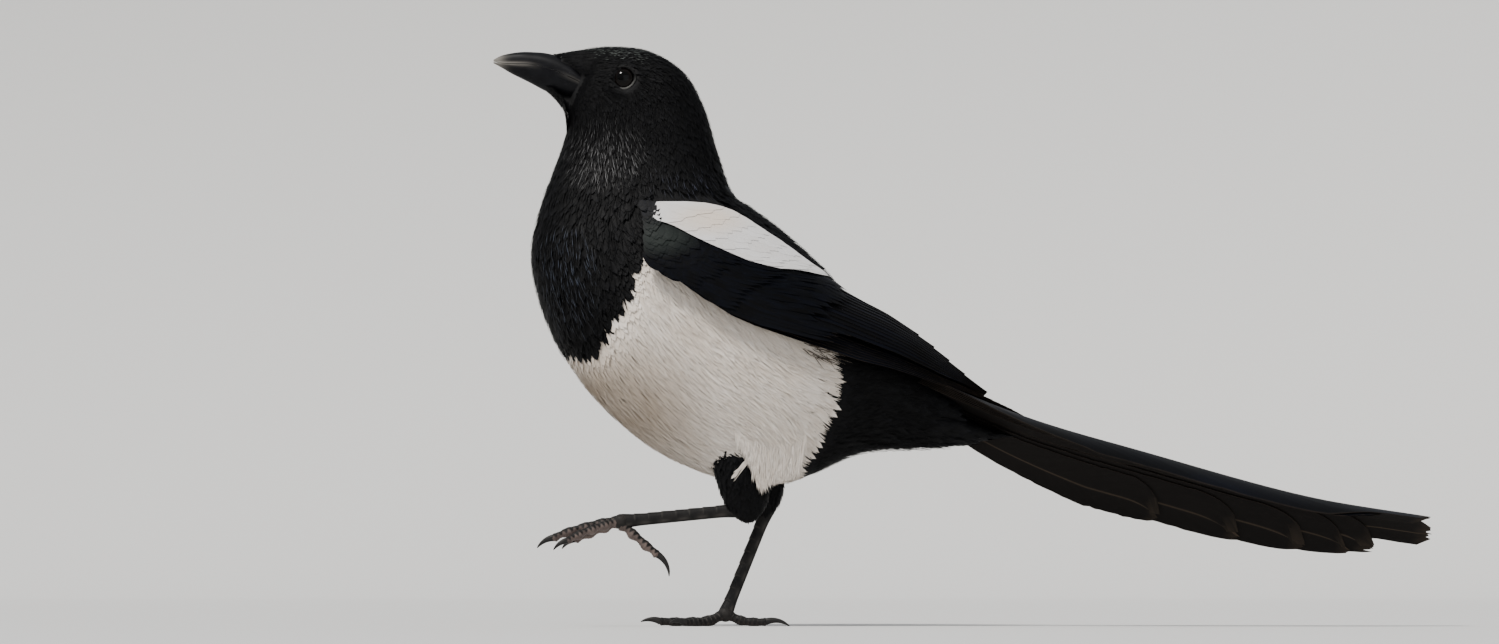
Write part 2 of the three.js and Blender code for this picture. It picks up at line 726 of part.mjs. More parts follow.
// A claw that curves down from just inside the end of a toe.
function claw(side, digit) {
  const [forward, across] = headingOf(side, digit);
  const { radius, claw: length, bend } = TOES[digit];
  const at = toeCentre(side, digit, TOE_PATHS[side][digit].length - 1.1);
  const steps = 4;
  const rows = Array.from({ length: steps + 1 }, (_, i) => {
    const t = i / steps;
    const pitch = THREE.MathUtils.degToRad(CLAW_PITCH[side][digit] - bend * t);
    const way = forward.clone().multiplyScalar(Math.cos(pitch));
    way.z = Math.sin(pitch);
    const row = { centre: at.clone(), across: lerp(radius * 0.6, 0.2, t), deep: lerp(radius * 0.75, 0.2, t) };
    at.addScaledVector(way, length / steps);
    return row;
  });
  return tube(rows, across, 6);
}

const feather = (color, roughness, metalness = 0) => ({ color, roughness, metalness });
const finishes = {
  black: feather(0x0c0c0e, 0.75),
  white: feather(0xe6dfd6, 0.85),
  glossy: feather(0x0b0d14, 0.4, 0.1),
  horn: feather(0x1c1c1f, 0.4),
  skin: feather(0x2b2926, 0.6),
  eye: feather(0x0a0705, 0.1),
};
const materials = Object.fromEntries(
  Object.entries(finishes).map(([name, finish]) => [name, new THREE.MeshStandardMaterial(finish)]),
);

const magpie = new THREE.Group();

function add(name, whole, finish) {
  const mesh = whole.getMesh();
  const geometry = new THREE.BufferGeometry();
  const positions = new Float32Array(mesh.numVert * 3);
  for (let i = 0; i < mesh.numVert; i += 1) {
    positions.set(mesh.vertProperties.subarray(i * mesh.numProp, i * mesh.numProp + 3), i * 3);
  }
  geometry.setAttribute("position", new THREE.BufferAttribute(positions, 3));
  geometry.setIndex(new THREE.BufferAttribute(new Uint32Array(mesh.triVerts), 1));
  geometry.computeVertexNormals();
  const made = new THREE.Mesh(geometry, materials[finish]);
  made.name = name;
  magpie.add(made);
}

// Head, bill and eyes.
const socket = eyeball(GAP);
const face = join([bodyLength(0, HEAD_END - CUT_HALF, 10), eyelid(), mirrored(eyelid())]);
const beakRoom = mandible(true, GAP + 0.1).add(mandible(false, GAP + 0.1));
const head = join([face, ...billTufts()]).subtract(beakRoom).subtract(socket).subtract(mirrored(socket));
add("head", largest(head), "black");
add("bill_upper", mandible(true), "horn");
add("bill_lower", mandible(false), "horn");
add("eye_left", eyeball(), "eye");
add("eye_right", mirrored(eyeball()), "eye");

// Neck and trunk.
add("neck", bodyLength(HEAD_END + CUT_HALF, NECK_END - CUT_HALF, 3), "black");
const trunk = bodyLength(NECK_END + CUT_HALF, 16, 16);
const trunkRoom = bodyLength(NECK_END - 0.5, 16.05, 17, GAP + 0.05);
const cut = trunk.subtract(wall(BELLY_BORDER)).subtract(wall(SHOULDER_BORDER)).subtract(wall(RUMP_BORDER));
const regions = cut.decompose();
add("breast", bodyAt(regions, [-160, 0, 140]), "black");
add("belly", bodyAt(regions, [-110, 0, 100]), "white");
add("mantle", bodyAt(regions, [-95, 0, 160]), "black");
add("vent", largest(bodyAt(regions, [-35, 0, 90]).add(undertail())), "black");

// Wings, made on the left and mirrored.
const leftHalf = prism(
  [
    [-REACH * 4, 0],
    [REACH * 4, 0],
    [REACH * 4, REACH * 5],
    [-REACH * 4, REACH * 5],
  ],
  -2 * REACH,
  -GAP,
);
const tiers = { coverts: [coverts(), "glossy"], secondaries: [secondaries(), "glossy"] };
tiers.primaries = [primaries(), "glossy"];
tiers.scapulars = [scapulars(), "white"];
Object.entries(tiers).forEach(([name, [whole, finish]]) => {
  const made = largest(whole.intersect(leftHalf).subtract(trunkRoom));
  add("wing_left_" + name, made, finish);
  add("wing_right_" + name, mirrored(made), finish);
});

add("tail", largest(tail().subtract(trunkRoom)), "glossy");

// Legs and feet. Whatever would sink below the floor is cut to small flats on it.
const floor = prism(
  [
    [-4 * REACH, -REACH],
    [4 * REACH, -REACH],
    [4 * REACH, 0],
    [-4 * REACH, 0],
  ],
  -REACH,
  REACH,
);
Object.entries(LEGS).forEach(([side, leg]) => {
  const shankRoom = shank(leg, GAP);
  add("trousers_" + side, largest(trousers(leg).subtract(trunkRoom).subtract(shankRoom)), "black");
  add("shank_" + side, largest(shank(leg).subtract(floor)), "skin");
  let taken = shankRoom;
  [2, 0, 1, 3].forEach((digit) => {
    const room = toe(side, digit, GAP);
    const flesh = toe(side, digit).subtract(taken).subtract(floor);
    const nail = claw(side, digit).subtract(room).subtract(floor);
    add("toe_" + side + "_" + (digit + 1), largest(flesh), "skin");
    add("claw_" + side + "_" + (digit + 1), largest(nail), "horn");
    taken = taken.add(room);
  });
});

export default magpie;
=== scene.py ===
"""A life-size Eurasian magpie in mid stride: skin, plumage, bill, eyes, legs and feet, and a stage.

The bird faces -X, its left side is -Y and the floor is z = 0. Shapes are worked out in millimetres.
"""

import math

import bpy
import numpy as np
from bpy.props import FloatProperty, FloatVectorProperty, PointerProperty
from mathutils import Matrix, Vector


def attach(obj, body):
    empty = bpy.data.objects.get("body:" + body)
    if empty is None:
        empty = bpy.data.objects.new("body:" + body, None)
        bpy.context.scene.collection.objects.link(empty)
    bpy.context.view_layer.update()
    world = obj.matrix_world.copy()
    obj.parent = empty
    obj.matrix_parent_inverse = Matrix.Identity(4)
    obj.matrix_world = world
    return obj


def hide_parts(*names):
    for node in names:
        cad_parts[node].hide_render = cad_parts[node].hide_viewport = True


bl_info = {
    "name": "Magpie Plumage",
    "version": (1, 0, 0),
    "blender": (4, 5, 0),
    "location": "View3D > Sidebar > Magpie",
    "description": "Dresses the solid model of a walking magpie with its plumage, bill, eyes and feet",
    "category": "Add Mesh",
}

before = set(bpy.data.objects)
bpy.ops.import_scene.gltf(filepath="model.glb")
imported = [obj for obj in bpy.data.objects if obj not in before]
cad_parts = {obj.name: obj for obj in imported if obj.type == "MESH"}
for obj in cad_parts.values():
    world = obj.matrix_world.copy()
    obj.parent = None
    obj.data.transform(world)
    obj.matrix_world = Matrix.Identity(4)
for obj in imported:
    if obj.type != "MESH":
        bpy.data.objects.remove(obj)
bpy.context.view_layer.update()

MM = 0.001
BODY_OF_ALL = "root"
SIDES = {"left": 1.0, "right": -1.0}
GOLDEN = (math.sqrt(5) - 1) / 2

# Trunk, neck and head: [back x, back z, underside x, underside z, half width] from face to tail base.
BODY = [
    [-169.7, 240.9, -173.5, 222.0, 6.6],
    [-158.8, 243.2, -168.0, 216.7, 9.8],
    [-147.4, 244.0, -167.6, 211.7, 14.6],
    [-132.7, 241.9, -168.0, 208.3, 17.0],
    [-118.9, 233.5, -169.3, 203.3, 18.0],
    [-110.5, 219.7, -171.4, 197.0, 18.5],
    [-104.2, 199.9, -174.7, 188.6, 20.5],
    [-97.9, 182.3, -178.9, 176.8, 25.0],
    [-89.9, 176.0, -183.1, 155.8, 29.5],
    [-78.1, 167.2, -178.5, 132.7, 33.5],
    [-66.4, 157.1, -168.0, 110.9, 35.5],
    [-56.3, 146.8, -149.1, 88.6, 36.0],
    [-50.2, 137.4, -125.2, 71.0, 35.0],
    [-43.7, 129.4, -97.0, 62.0, 32.0],
    [-34.9, 122.6, -69.7, 63.4, 25.5],
    [-26.5, 117.0, -43.7, 72.8, 18.5],
    [-20.2, 110.6, -17.2, 74.3, 12.5],
]
BODY_POWER = 2.2
HEAD_END = 5.5
NECK_END = 7.6
TRUNK_END = 16.0
FLANK = {"section": 13.6, "angle": 150.0, "length": 1.1, "width": 24.0, "rise": 5.5}
# Plumage by section: [section, spacing of the roots, feather length, feather width, coat depth].
COAT = [
    [0.0, 0.85, 2.6, 1.1, 0.5],
    [1.0, 0.95, 3.4, 1.4, 0.6],
    [2.5, 1.15, 4.6, 1.9, 0.8],
    [5.0, 1.5, 6.6, 2.7, 1.1],
    [7.0, 2.0, 9.5, 4.0, 1.6],
    [9.0, 2.4, 12.0, 5.2, 2.0],
    [12.0, 2.6, 14.0, 5.8, 2.0],
    [16.0, 2.6, 13.0, 5.4, 1.8],
]
# Face: degrees from the back where its sides start and end, the sections over which they start later and
# lower, and by how much.
FACE = {"start": (48.0, 84.0), "end": (142.0, 168.0), "reach": 3.2, "later": 1.3, "near": 0.8, "lower": 2.2}
# Plumage round each eye: a raised ring and the socket within it.
RING = {"rise": 0.75, "radius": 6.2, "width": 2.0}
SOCKET = {"drop": 0.9, "radius": 3.6}
# White of the belly and flanks on the side view, as [x, z], closed under the bird.
BELLY = [
    [-186.0, 107.0],
    [-168.4, 110.9],
    [-157.9, 109.2],
    [-151.2, 112.6],
    [-146.2, 123.5],
    [-139.4, 131.9],
    [-137.8, 143.2],
    [-131.5, 157.0],
    [-115.0, 156.0],
    [-96.0, 148.0],
    [-76.0, 139.0],
    [-57.0, 127.0],
    [-51.5, 104.0],
    [-52.9, 90.7],
    [-58.8, 78.1],
    [-67.6, 63.4],
    [-75.0, 44.0],
    [-75.0, 0.0],
    [-186.0, 0.0],
]
# Bill from tip to gape: [x, culmen z, mouth z, lower edge z, half width].
BILL = [
    [-198.9, 238.6, 237.7, 237.0, 0.5],
    [-195.6, 240.3, 237.0, 235.2, 1.6],
    [-191.4, 241.3, 236.7, 232.7, 2.6],
    [-187.2, 241.8, 236.5, 230.6, 3.4],
    [-183.0, 241.8, 236.2, 228.5, 4.2],
    [-176.8, 241.3, 234.8, 225.2, 5.2],
    [-170.5, 239.6, 232.3, 222.9, 6.3],
    [-165.5, 236.6, 230.0, 221.6, 7.3],
    [-160.5, 232.6, 227.4, 221.0, 8.2],
]
MOUTH_GAP = 0.3
# Feathered chin under the lower bill, from front to throat: [x, underside z, half width].
CHIN = [
    [-178.5, 226.2, 3.6],
    [-174.0, 223.0, 5.9],
    [-170.0, 218.6, 7.8],
    [-168.2, 213.6, 9.6],
    [-167.8, 208.0, 11.0],
]
EYE = {"x": -143.6, "y": 13.2, "z": 228.8, "radius": 5.2, "flat": 0.83, "turn": -4.0, "tilt": 9.0}
LID = {"radius": 4.8, "thick": 0.4, "out": 2.85}
EYE_CLEAR = 5.2
# Outer face of the folded wing: [ridge x, ridge z, low x, low z, half width, lower edge in degrees].
WING = [
    [-100.0, 188.2, -176.8, 176.8, 30.0, 92.0],
    [-94.1, 179.3, -170.5, 157.9, 35.5, 93.0],
    [-84.4, 172.2, -170.5, 136.9, 40.0, 96.0],
    [-73.9, 163.8, -160.0, 115.9, 42.5, 90.0],
    [-63.4, 154.6, -141.1, 94.9, 43.0, 84.0],
    [-52.9, 145.3, -115.9, 78.1, 42.5, 74.5],
    [-42.4, 137.8, -88.6, 73.9, 40.5, 72.0],
    [-31.9, 131.5, -65.5, 76.0, 36.5, 75.0],
    [-21.4, 124.3, -46.6, 82.3, 30.5, 78.0],
    [-10.9, 116.3, -29.8, 86.5, 23.5, 81.0],
    [-0.4, 107.1, -25.6, 72.7, 18.5, 53.0],
    [10.1, 98.3, -15.1, 71.4, 15.0, 35.0],
    [20.6, 91.6, -2.9, 71.4, 11.8, 23.4],
]
WING_POWER = 2.1
# Core under the wing's feathers: [wing section, height under the outer face, half thickness].
WING_CORE = [
    [0.5, -3.3, 0.05],
    [1.2, -3.3, 1.3],
    [4.0, -3.6, 1.3],
    [5.2, -5.6, 0.5],
    [9.0, -3.2, 0.4],
    [10.6, -2.9, 0.1],
]
# White shoulder patch: [wing section, angle of its upper edge, angle of its lower edge].
PATCH = [
    [0.56, 82.2, 82.3],
    [0.82, 60.4, 85.6],
    [1.01, 50.5, 88.1],
    [1.37, 39.5, 78.0],
    [1.88, 35.0, 71.3],
    [2.54, 31.2, 63.3],
    [3.18, 27.0, 56.2],
    [3.73, 24.2, 46.5],
    [4.04, 22.8, 36.8],
    [4.46, 19.0, 26.9],
    [4.8, 15.8, 16.5],
]
# Tail: the ridge of its arched upper face as [x, z], its arch, and how far each feather reaches.
TAIL_RIDGE = [[-22.0, 103.8], [22.7, 85.4], [73.1, 70.6], [140.3, 52.2], [197.6, 42.6]]
TAIL = {"root": 0.02, "arch": 25.0, "roll": 28.0, "side": 5.0, "pairs": 6, "layer": 0.34}
TAIL_FAN = 0.42
TAIL_REACH = {
    "left": [0.985, 0.9, 0.82, 0.71, 0.62, 0.53],
    "right": [1.0, 0.9, 0.86, 0.78, 0.68, 0.56],
}
# Edges of each side's tail feathers across the arch: where the inner and the outer one are on the first
# feather, and their step from one feather to the next.
TAIL_EDGES = {"left": ((-1.5, 0.0), (30.8, -1.6)), "right": ((-2.2, 2.2), (19.8, 2.2))}
# Undertail coverts, in the same columns as the trunk.
UNDERTAIL = [
    [-27.0, 97.0, -24.0, 75.5, 11.0],
    [-18.0, 95.0, -14.0, 75.0, 10.5],
    [-6.0, 90.0, -2.0, 76.0, 8.5],
    [7.0, 84.5, 9.5, 77.8, 5.0],
    [18.0, 80.4, 19.5, 79.4, 1.2],
]
# How far the undertail coverts stay inside the tail's arch.
UNDERTAIL_ROOM = 6.6
# Legs: heel, foot joint, and the trousers' offset, lean and spread.
LEGS = {
    "left": {"heel": (-93.2, -14.0, 48.7), "foot": (-144.5, -13.0, 43.6), "lean": (1.5, -0.11, 1.1)},
    "right": {"heel": (-82.6, 9.0, 51.0), "foot": (-101.0, 1.0, 5.0), "lean": (-2.5, -0.18, 1.35)},
}
# Trousers from top to bottom: [height over the heel, half width, half depth].
TROUSERS = [
    [34.0, 9.5, 15.0],
    [20.0, 9.5, 13.0],
    [9.0, 8.0, 10.8],
    [2.0, 6.0, 8.6],
    [-2.5, 4.2, 5.6],
    [-5.0, 2.4, 2.6],
]
SHANK = {"depth": 2.6, "width": 1.9, "scutes": 8, "hub": 3.3}
# Toes, the first pointing back: radius, heading on each foot, claw length and the claw's bend.
TOES = [
    {"radius": 2.1, "right": 174.0, "left": 180.0, "claw": 11.0, "bend": 62.0},
    {"radius": 1.95, "right": 29.0, "left": 13.0, "claw": 7.5, "bend": 50.0},
    {"radius": 2.15, "right": 1.0, "left": 0.0, "claw": 8.5, "bend": 50.0},
    {"radius": 1.95, "right": -31.0, "left": -13.0, "claw": 7.5, "bend": 50.0},
]
# Toe paths as [forward, up] from the foot joint.
TOE_PATHS = {
    "right": [
        [[1.5, -0.5], [6.5, -2.6], [12.0, -3.3], [17.5, -3.2]],
        [[1.5, -0.5], [7.5, -2.9], [14.0, -3.4], [20.0, -3.2]],
        [[1.5, -0.5], [7.5, -2.7], [14.0, -3.2], [21.0, -3.2], [28.0, -3.0]],
        [[1.5, -0.5], [7.0, -2.9], [12.0, -3.4], [17.0, -3.4], [22.0, -3.2]],
    ],
    "left": [
        [[0.5, -1.5], [5.0, -5.2], [10.5, -10.0], [15.5, -14.0]],
        [[1.5, -0.6], [7.0, -2.6], [13.5, -5.0], [20.0, -7.6]],
        [[1.5, 0.3], [8.0, -0.8], [15.0, -2.4], [22.0, -4.4], [28.5, -7.0]],
        [[1.5, 0.0], [7.0, -1.6], [12.5, -3.4], [18.0, -5.6], [23.0, -8.2]],
    ],
}
CLAW_PITCH = {"right": [20.0, 22.0, 24.0, 22.0], "left": [-30.0, -8.0, -6.0, -8.0]}

# Grids of the feathers: small ones, hair-like ones, and the columns of a flight feather.
COAT_T = np.array([0.0, 0.35, 0.65, 0.88, 1.0])
COAT_U = np.array([-1.0, 0.0, 1.0])
NEAR_TIP = 3
STRAND_T = np.array([0.0, 0.4, 0.75, 1.0])
COVERT_T = np.array([0.0, 0.25, 0.5, 0.72, 0.88, 0.96, 1.0])
COVERT_U = np.array([-1.0, -0.5, 0.0, 0.5, 1.0])
SHAFT = 0.18
FLIGHT_U = np.array([-1.0, -0.93, -0.7, -0.42, -0.16, 0.06, 0.14, SHAFT, 0.22, 0.3, 0.5, 0.75, 0.94, 1.0])
BAKE_PATCH = 0.0015
NO_TRIANGLES = np.zeros((0, 3), int)
SIDEWAYS = np.array([0.0, 1.0, 0.0])
# Share of the way down the wing where its small feathers end.
WING_LOW = 0.985
# Spacing where no feathers grow.
BARE = 1e3
# Where the neck's feathers run under the white shoulder feathers, and how far they are sunk there.
COVERED = {"x": (-132.0, -95.0), "z": (164.0, 180.0), "y": 18.0, "sink": 2.0}
# Belly feathers turn down over the thigh: ranges of x, z and y over which the turn sets in, and the turn.
DROOP = {"x": (-112.0, -76.0), "z": (80.0, 112.0), "y": (4.0, 14.0), "turn": 0.8}
# Parts of the trunk: the section where the vent starts, and how far down the back reaches in degrees.
VENT_START = 12.5
BACK_REACH = 78.0
# Grey tuft at the rear of the wing's lower edge: x, z and radius, flatter than a circle by a share.
TUFT = {"x": -62.0, "z": 117.0, "radius": 7.5, "flat": 1.2}

# Second tones, which vary the colours of the panel.
VARIED = {
    "black": (0.0021, 0.0021, 0.0024),
    "white": (0.84, 0.785, 0.725),
    "horn": (0.0058, 0.0060, 0.0074),
    "leg": (0.0125, 0.0115, 0.0110),
    "joint": (0.085, 0.075, 0.066),
    "pad": (0.080, 0.061, 0.056),
    "iris": (0.0036, 0.0024, 0.0020),
}
PUPIL = (0.001, 0.001, 0.001)
LID_TONES = ((0.003, 0.003, 0.003), (0.11, 0.108, 0.102))
SKIN_TONES = ((0.004, 0.004, 0.004), (0.010, 0.010, 0.011))
SHAFT_ROOT = (0.003, 0.003, 0.003)
SCAPULAR_TONES = ((0.62, 0.598, 0.585), (0.68, 0.67, 0.67), (0.70, 0.69, 0.685))
TUFT_TONES = ((0.03, 0.024, 0.02), (0.20, 0.165, 0.13))
BROWN_PLACE = (-0.152, 0.088, 0.052, 0.036)
CREAM_PLACE = (-0.108, 0.169, 0.020, 0.009)
SHEEN_PLACE = (-0.127, 0.161, 0.018, 0.0095)

# Pale shafts on the throat; painted glints on the breast and nape and painted sheen on the crown, all in the
# black plumage: root spacing, sections, degrees from the back, lengths, widths, centre and reach on the
# side view, how far they fan out in radians for each millimetre, and tint.
SHAFTS_AND_GLINTS = {
    "throat": {
        "spacing": 1.35, "s": (3.2, 8.0), "degrees": (40, 179), "length": (2.2, 4.6), "width": (0.2, 0.36),
        "centre": (-152.0, 197.0), "reach": (20.0, 17.0), "fan": 0.022, "tint": (0.24, 0.24, 0.245),
    },
    # Painted glints: bluish highlights on the breast.
    "breast": {
        "spacing": 1.9, "s": (7.6, 11.6), "degrees": (80, 170), "length": (3.0, 6.5), "width": (0.25, 0.45),
        "centre": (-167.0, 150.0), "reach": (17.0, 34.0), "fan": 0.0, "tint": (0.085, 0.10, 0.14),
    },
    # Painted sheen: greenish-grey highlights on the crown.
    "crown": {
        "spacing": 1.05, "s": (0.8, 5.0), "degrees": (3, 50), "length": (1.2, 2.4), "width": (0.25, 0.42),
        "centre": (-147.0, 244.0), "reach": (22.0, 11.0), "fan": 0.0, "tint": (0.22, 0.25, 0.23),
    },
    # Painted glints: bluish highlights on the nape.
    "nape": {
        "spacing": 1.7, "s": (6.0, 8.6), "degrees": (30, 120), "length": (2.4, 5.0), "width": (0.22, 0.4),
        "centre": (-116.0, 185.0), "reach": (22.0, 9.0), "fan": 0.0, "tint": (0.07, 0.075, 0.11),
    },
}
# Feathers that hang over each thigh: corners of a sheet (front top, rear top, front low, rear low), their
# number, and their reach down it as [share from front to rear, share down].
HANGING = {
    "flank": {
        "corners": [[-98.0, -30.5, 87.0], [-67.0, -28.0, 87.0], [-91.5, -25.0, 56.5], [-73.0, -22.0, 56.5]],
        "count": 1700,
        "reach": [[0.0, 0.42], [0.12, 0.56], [0.2, 0.8], [0.3, 1.05], [0.42, 0.97], [0.7, 0.9], [1.0, 0.82]],
    },
    "flick": {
        "corners": [[-90.6, -28.0, 70.4], [-89.0, -28.0, 71.0], [-99.0, -25.6, 61.2], [-98.4, -25.6, 60.8]],
        "count": 9,
        "reach": [[0.0, 0.85], [0.5, 1.05], [1.0, 0.8]],
    },
}


def lerp(a, b, t):
    """The value a share t of the way from a to b."""
    return a + (b - a) * t


def smooth(x, low, high):
    """A soft step from 0 at low to 1 at high, after 3 t squared minus 2 t cubed."""
    t = np.clip((x - low) / (high - low), 0.0, 1.0)
    return t * t * (3 - 2 * t)


def unit(v):
    """Vectors scaled to length 1."""
    return v / np.linalg.norm(v, axis=-1, keepdims=True)


def around(sides):
    """Even angles once round, in one row."""
    return (np.arange(sides) / sides * 2 * np.pi)[None, :]


def from_back(a):
    """An angle round the body as degrees from the middle of the back, on either side."""
    return np.abs(np.degrees((a + np.pi) % (2 * np.pi) - np.pi))


def curve_at(rows, t):
    """Uniform Catmull-Rom curve through the rows at 0, 1, 2 and so on, run on straight past its ends."""
    rows = np.asarray(rows, float)
    last = len(rows) - 1
    inside = np.clip(np.asarray(t, float), 0, last)
    padded = np.vstack([2 * rows[0] - rows[1], rows, 2 * rows[-1] - rows[-2]])
    i = np.minimum(np.floor(inside).astype(int), last - 1)
    f = (inside - i)[..., None]
    a, b, c, d = (padded[i + k] for k in range(4))
    square = (2 * a - 5 * b + 4 * c - d) * f**2
    cube = (3 * b - a - 3 * c + d) * f**3
    over = (t - inside)[..., None]
    slope = np.where(over > 0, rows[-1] - rows[-2], rows[1] - rows[0])
    return 0.5 * (2 * b + (c - a) * f + square + cube) + over * slope


def table_at(rows, x):
    """The columns of a table at x, straight between its rows, whose first column rises."""
    rows = np.asarray(rows, float)
    return [np.interp(x, rows[:, 0], rows[:, k]) for k in range(1, rows.shape[1])]


def inside_outline(x, z, outline):
    """True where a ray from (x, z) crosses the outline an odd number of times."""
    inside = np.zeros(np.shape(x), bool)
    for (ax, az), (bx, bz) in zip(outline, outline[1:] + outline[:1]):
        if az == bz:
            continue
        crosses = (az > z) != (bz > z)
        inside ^= crosses & (x < ax + (z - az) * (bx - ax) / (bz - az))
    return inside


def section(row, angle, power, out):
    """A superellipse between a back point and an underside point, out millimetres outside it."""
    cos, sin = np.cos(angle), np.sin(angle)
    c = np.sign(cos) * np.abs(cos) ** (2 / power)
    s = np.sign(sin) * np.abs(sin) ** (2 / power)
    back_x, back_z, low_x, low_z, half = (row[..., k] for k in range(5))
    half_x, half_z = (back_x - low_x) / 2, (back_z - low_z) / 2
    grow = 1 + out / np.hypot(half_x, half_z)
    x = (back_x + low_x) / 2 + half_x * grow * c
    z = (back_z + low_z) / 2 + half_z * grow * c
    return np.stack([x, -(half + out) * s, z], axis=-1)


def body(s, a, out=0.0):
    """The trunk's superellipses along its curve, with a Gaussian bulge on each flank; a = 0 is the back."""
    row = curve_at(BODY, s)
    point = section(row, a, BODY_POWER, out)
    middle = np.stack([(row[..., 0] + row[..., 2]) / 2, 0 * row[..., 0], (row[..., 1] + row[..., 3]) / 2], -1)
    degrees = from_back(a)
    along = (s - FLANK["section"]) / FLANK["length"]
    round_it = (degrees - FLANK["angle"]) / FLANK["width"]
    near = along**2 + round_it**2
    return point + unit(point - middle) * (FLANK["rise"] * np.exp(-near))[..., None]


def eye_distance(point):
    """Distance to the nearer eye's centre, across the head left out."""
    return np.hypot(point[..., 0] - EYE["x"], point[..., 2] - EYE["z"])


def face(s, a, out=0.0):
    """The body with the plumage parted at the gape and raised in a ring round each eye.

    At the sides of the bill the face starts later and lower; round the eye it rises by a Gaussian of the
    distance from the lid.
    """
    degrees = from_back(a)
    side = smooth(degrees, *FACE["start"]) * (1 - smooth(degrees, *FACE["end"]))
    ahead = np.clip(1 - s / FACE["reach"], 0, 1)
    near = np.exp(-((np.clip(s, 0, None) / FACE["near"]) ** 2))
    point = body(s + FACE["later"] * side * ahead, a, out - FACE["lower"] * side * near)
    lateral = point[..., 1]
    distance = eye_distance(point)
    ring = RING["rise"] * np.exp(-(((distance - RING["radius"]) / RING["width"]) ** 2))
    socket = SOCKET["drop"] * np.exp(-((distance / SOCKET["radius"]) ** 4))
    point[..., 1] += np.sign(lateral) * (ring - socket) * smooth(np.abs(lateral), 8.0, 12.0)
    return point


def wing(b, share, out=0.0):
    """The outer face of the left wing at a section, a share of the way down to its edge, and a height."""
    row = curve_at(WING, b)
    return section(row, np.radians(share * row[..., 5]), WING_POWER, out)


def tail(share, lateral, out=0.0):
    """The tail's arch, a circle rolled to one side and carried along its ridge."""
    last = len(TAIL_RIDGE) - 1
    here = curve_at(TAIL_RIDGE, share * last)
    way = unit(curve_at(TAIL_RIDGE, share * last + 0.01) - here)
    roll = math.radians(TAIL["roll"])
    angle = lateral / TAIL["arch"] + roll
    y = TAIL["side"] * share + (TAIL["arch"] + out) * np.sin(angle) - TAIL["arch"] * math.sin(roll)
    rise = (TAIL["arch"] + out) * np.cos(angle) - TAIL["arch"] * math.cos(roll)
    return np.stack([here[..., 0] - way[..., 1] * rise, y, here[..., 1] + way[..., 0] * rise], axis=-1)


def undertail(s, a, out=0.0):
    """The wedge of undertail coverts, kept inside the tail's arch by a circle a little smaller than it."""
    point = section(curve_at(UNDERTAIL, s), a, BODY_POWER, out)
    span = TAIL_RIDGE[-1][0] - TAIL_RIDGE[0][0]
    share = (point[..., 0] - TAIL_RIDGE[0][0]) / span
    centre = tail(share, 0 * share, 0 * share)
    roll = math.radians(TAIL["roll"])
    y = point[..., 1] - centre[..., 1] + TAIL["arch"] * math.sin(roll)
    z = point[..., 2] - centre[..., 2] + TAIL["arch"] * math.cos(roll)
    radius = np.hypot(y, z)
    room = TAIL["arch"] - UNDERTAIL_ROOM + out
    scale = np.where((z > 0) & (radius > room), room / radius, 1.0)
    point[..., 1] += y * (scale - 1)
    point[..., 2] += z * (scale - 1)
    return point


def tube(rows, side):
    """A surface with elliptic sections along a curve of [x, y, z, across, deep]; side is the way across."""
    rows = np.asarray(rows, float)

    def surface(t, a, out=0.0):
        here = curve_at(rows, t)
        along = unit(curve_at(rows, t + 0.02)[..., :3] - curve_at(rows, t - 0.02)[..., :3])
        across = unit(side - (along @ side)[..., None] * along)
        up = np.cross(across, along)
        wide = (here[..., 3] + out) * np.cos(a)
        deep = (here[..., 4] + out) * np.sin(a)
        return here[..., :3] + across * wide[..., None] + up * deep[..., None]

    return surface


def tangents(surface, s, a, out):
    """A surface's two partial derivatives, by central differences, and its unit normal, at each place."""
    step = 0.01
    along_s = (surface(s + step, a, out) - surface(s - step, a, out)) / (2 * step)
    along_a = (surface(s, a + step, out) - surface(s, a - step, out)) / (2 * step)
    normal = unit(np.cross(along_s, along_a))
    outward = surface(s, a, out + 0.5) - surface(s, a, out)
    turned = np.sum(normal * outward, axis=-1, keepdims=True) < 0
    return along_s, along_a, np.where(turned, -normal, normal)


def scatter(surface, spacing, s_range, a_range, cells=260):
    """Even roots, one for each square of the spacing: a golden-ratio lattice on the surface's area.

    The spacing is a number, or a function of both parameters and the point.
    """
    s_edges = np.linspace(*s_range, cells + 1)
    a_edges = np.linspace(*a_range, cells + 1)
    s, a = np.meshgrid((s_edges[1:] + s_edges[:-1]) / 2, (a_edges[1:] + a_edges[:-1]) / 2, indexing="ij")
    along_s, along_a, _ = tangents(surface, s, a, 0 * s)
    area = np.linalg.norm(np.cross(along_s, along_a), axis=-1)
    cell = (s_edges[1] - s_edges[0]) * (a_edges[1] - a_edges[0])
    step = spacing(s, a, surface(s, a, 0 * s)) if callable(spacing) else spacing + 0 * s
    weight = area * cell / step**2 + 1e-12
    rows = weight.sum(axis=1)
    total = rows.sum()
    count = int(total)
    goal = (np.arange(count) + 0.5) / count * total
    ends = np.cumsum(rows)
    row = np.minimum(np.searchsorted(ends, goal), cells - 1)
    share = np.cumsum(weight, axis=1) / rows[:, None]
    v = (np.arange(count) * GOLDEN) % 1.0
    flat = (share + np.arange(cells)[:, None]).ravel()
    column = np.clip(np.searchsorted(flat, row + v) - row * cells, 0, cells - 1)
    before = np.where(column > 0, share[row, column - 1], 0.0)
    part = np.clip((v - before) / (share[row, column] - before), 0, 1)
    s_root = np.interp(goal, np.concatenate([[0.0], ends]), s_edges)
    return s_root, a_edges[column] + part * (a_edges[1] - a_edges[0])


def rounded(t):
    """Half width of a soft feather along its length: it widens quickly and ends in a round tip."""
    end = np.clip((t - 0.5) / 0.5, 0, 1)
    return np.clip(t / 0.3 + 0.35, 0, 1) * np.sqrt(1 - 0.93 * end**2)


def pointed(t):
    """Half width of a hair-like feather: it narrows evenly to its tip."""
    return np.clip(t / 0.2 + 0.5, 0, 1) * (1.03 - t) ** 0.7


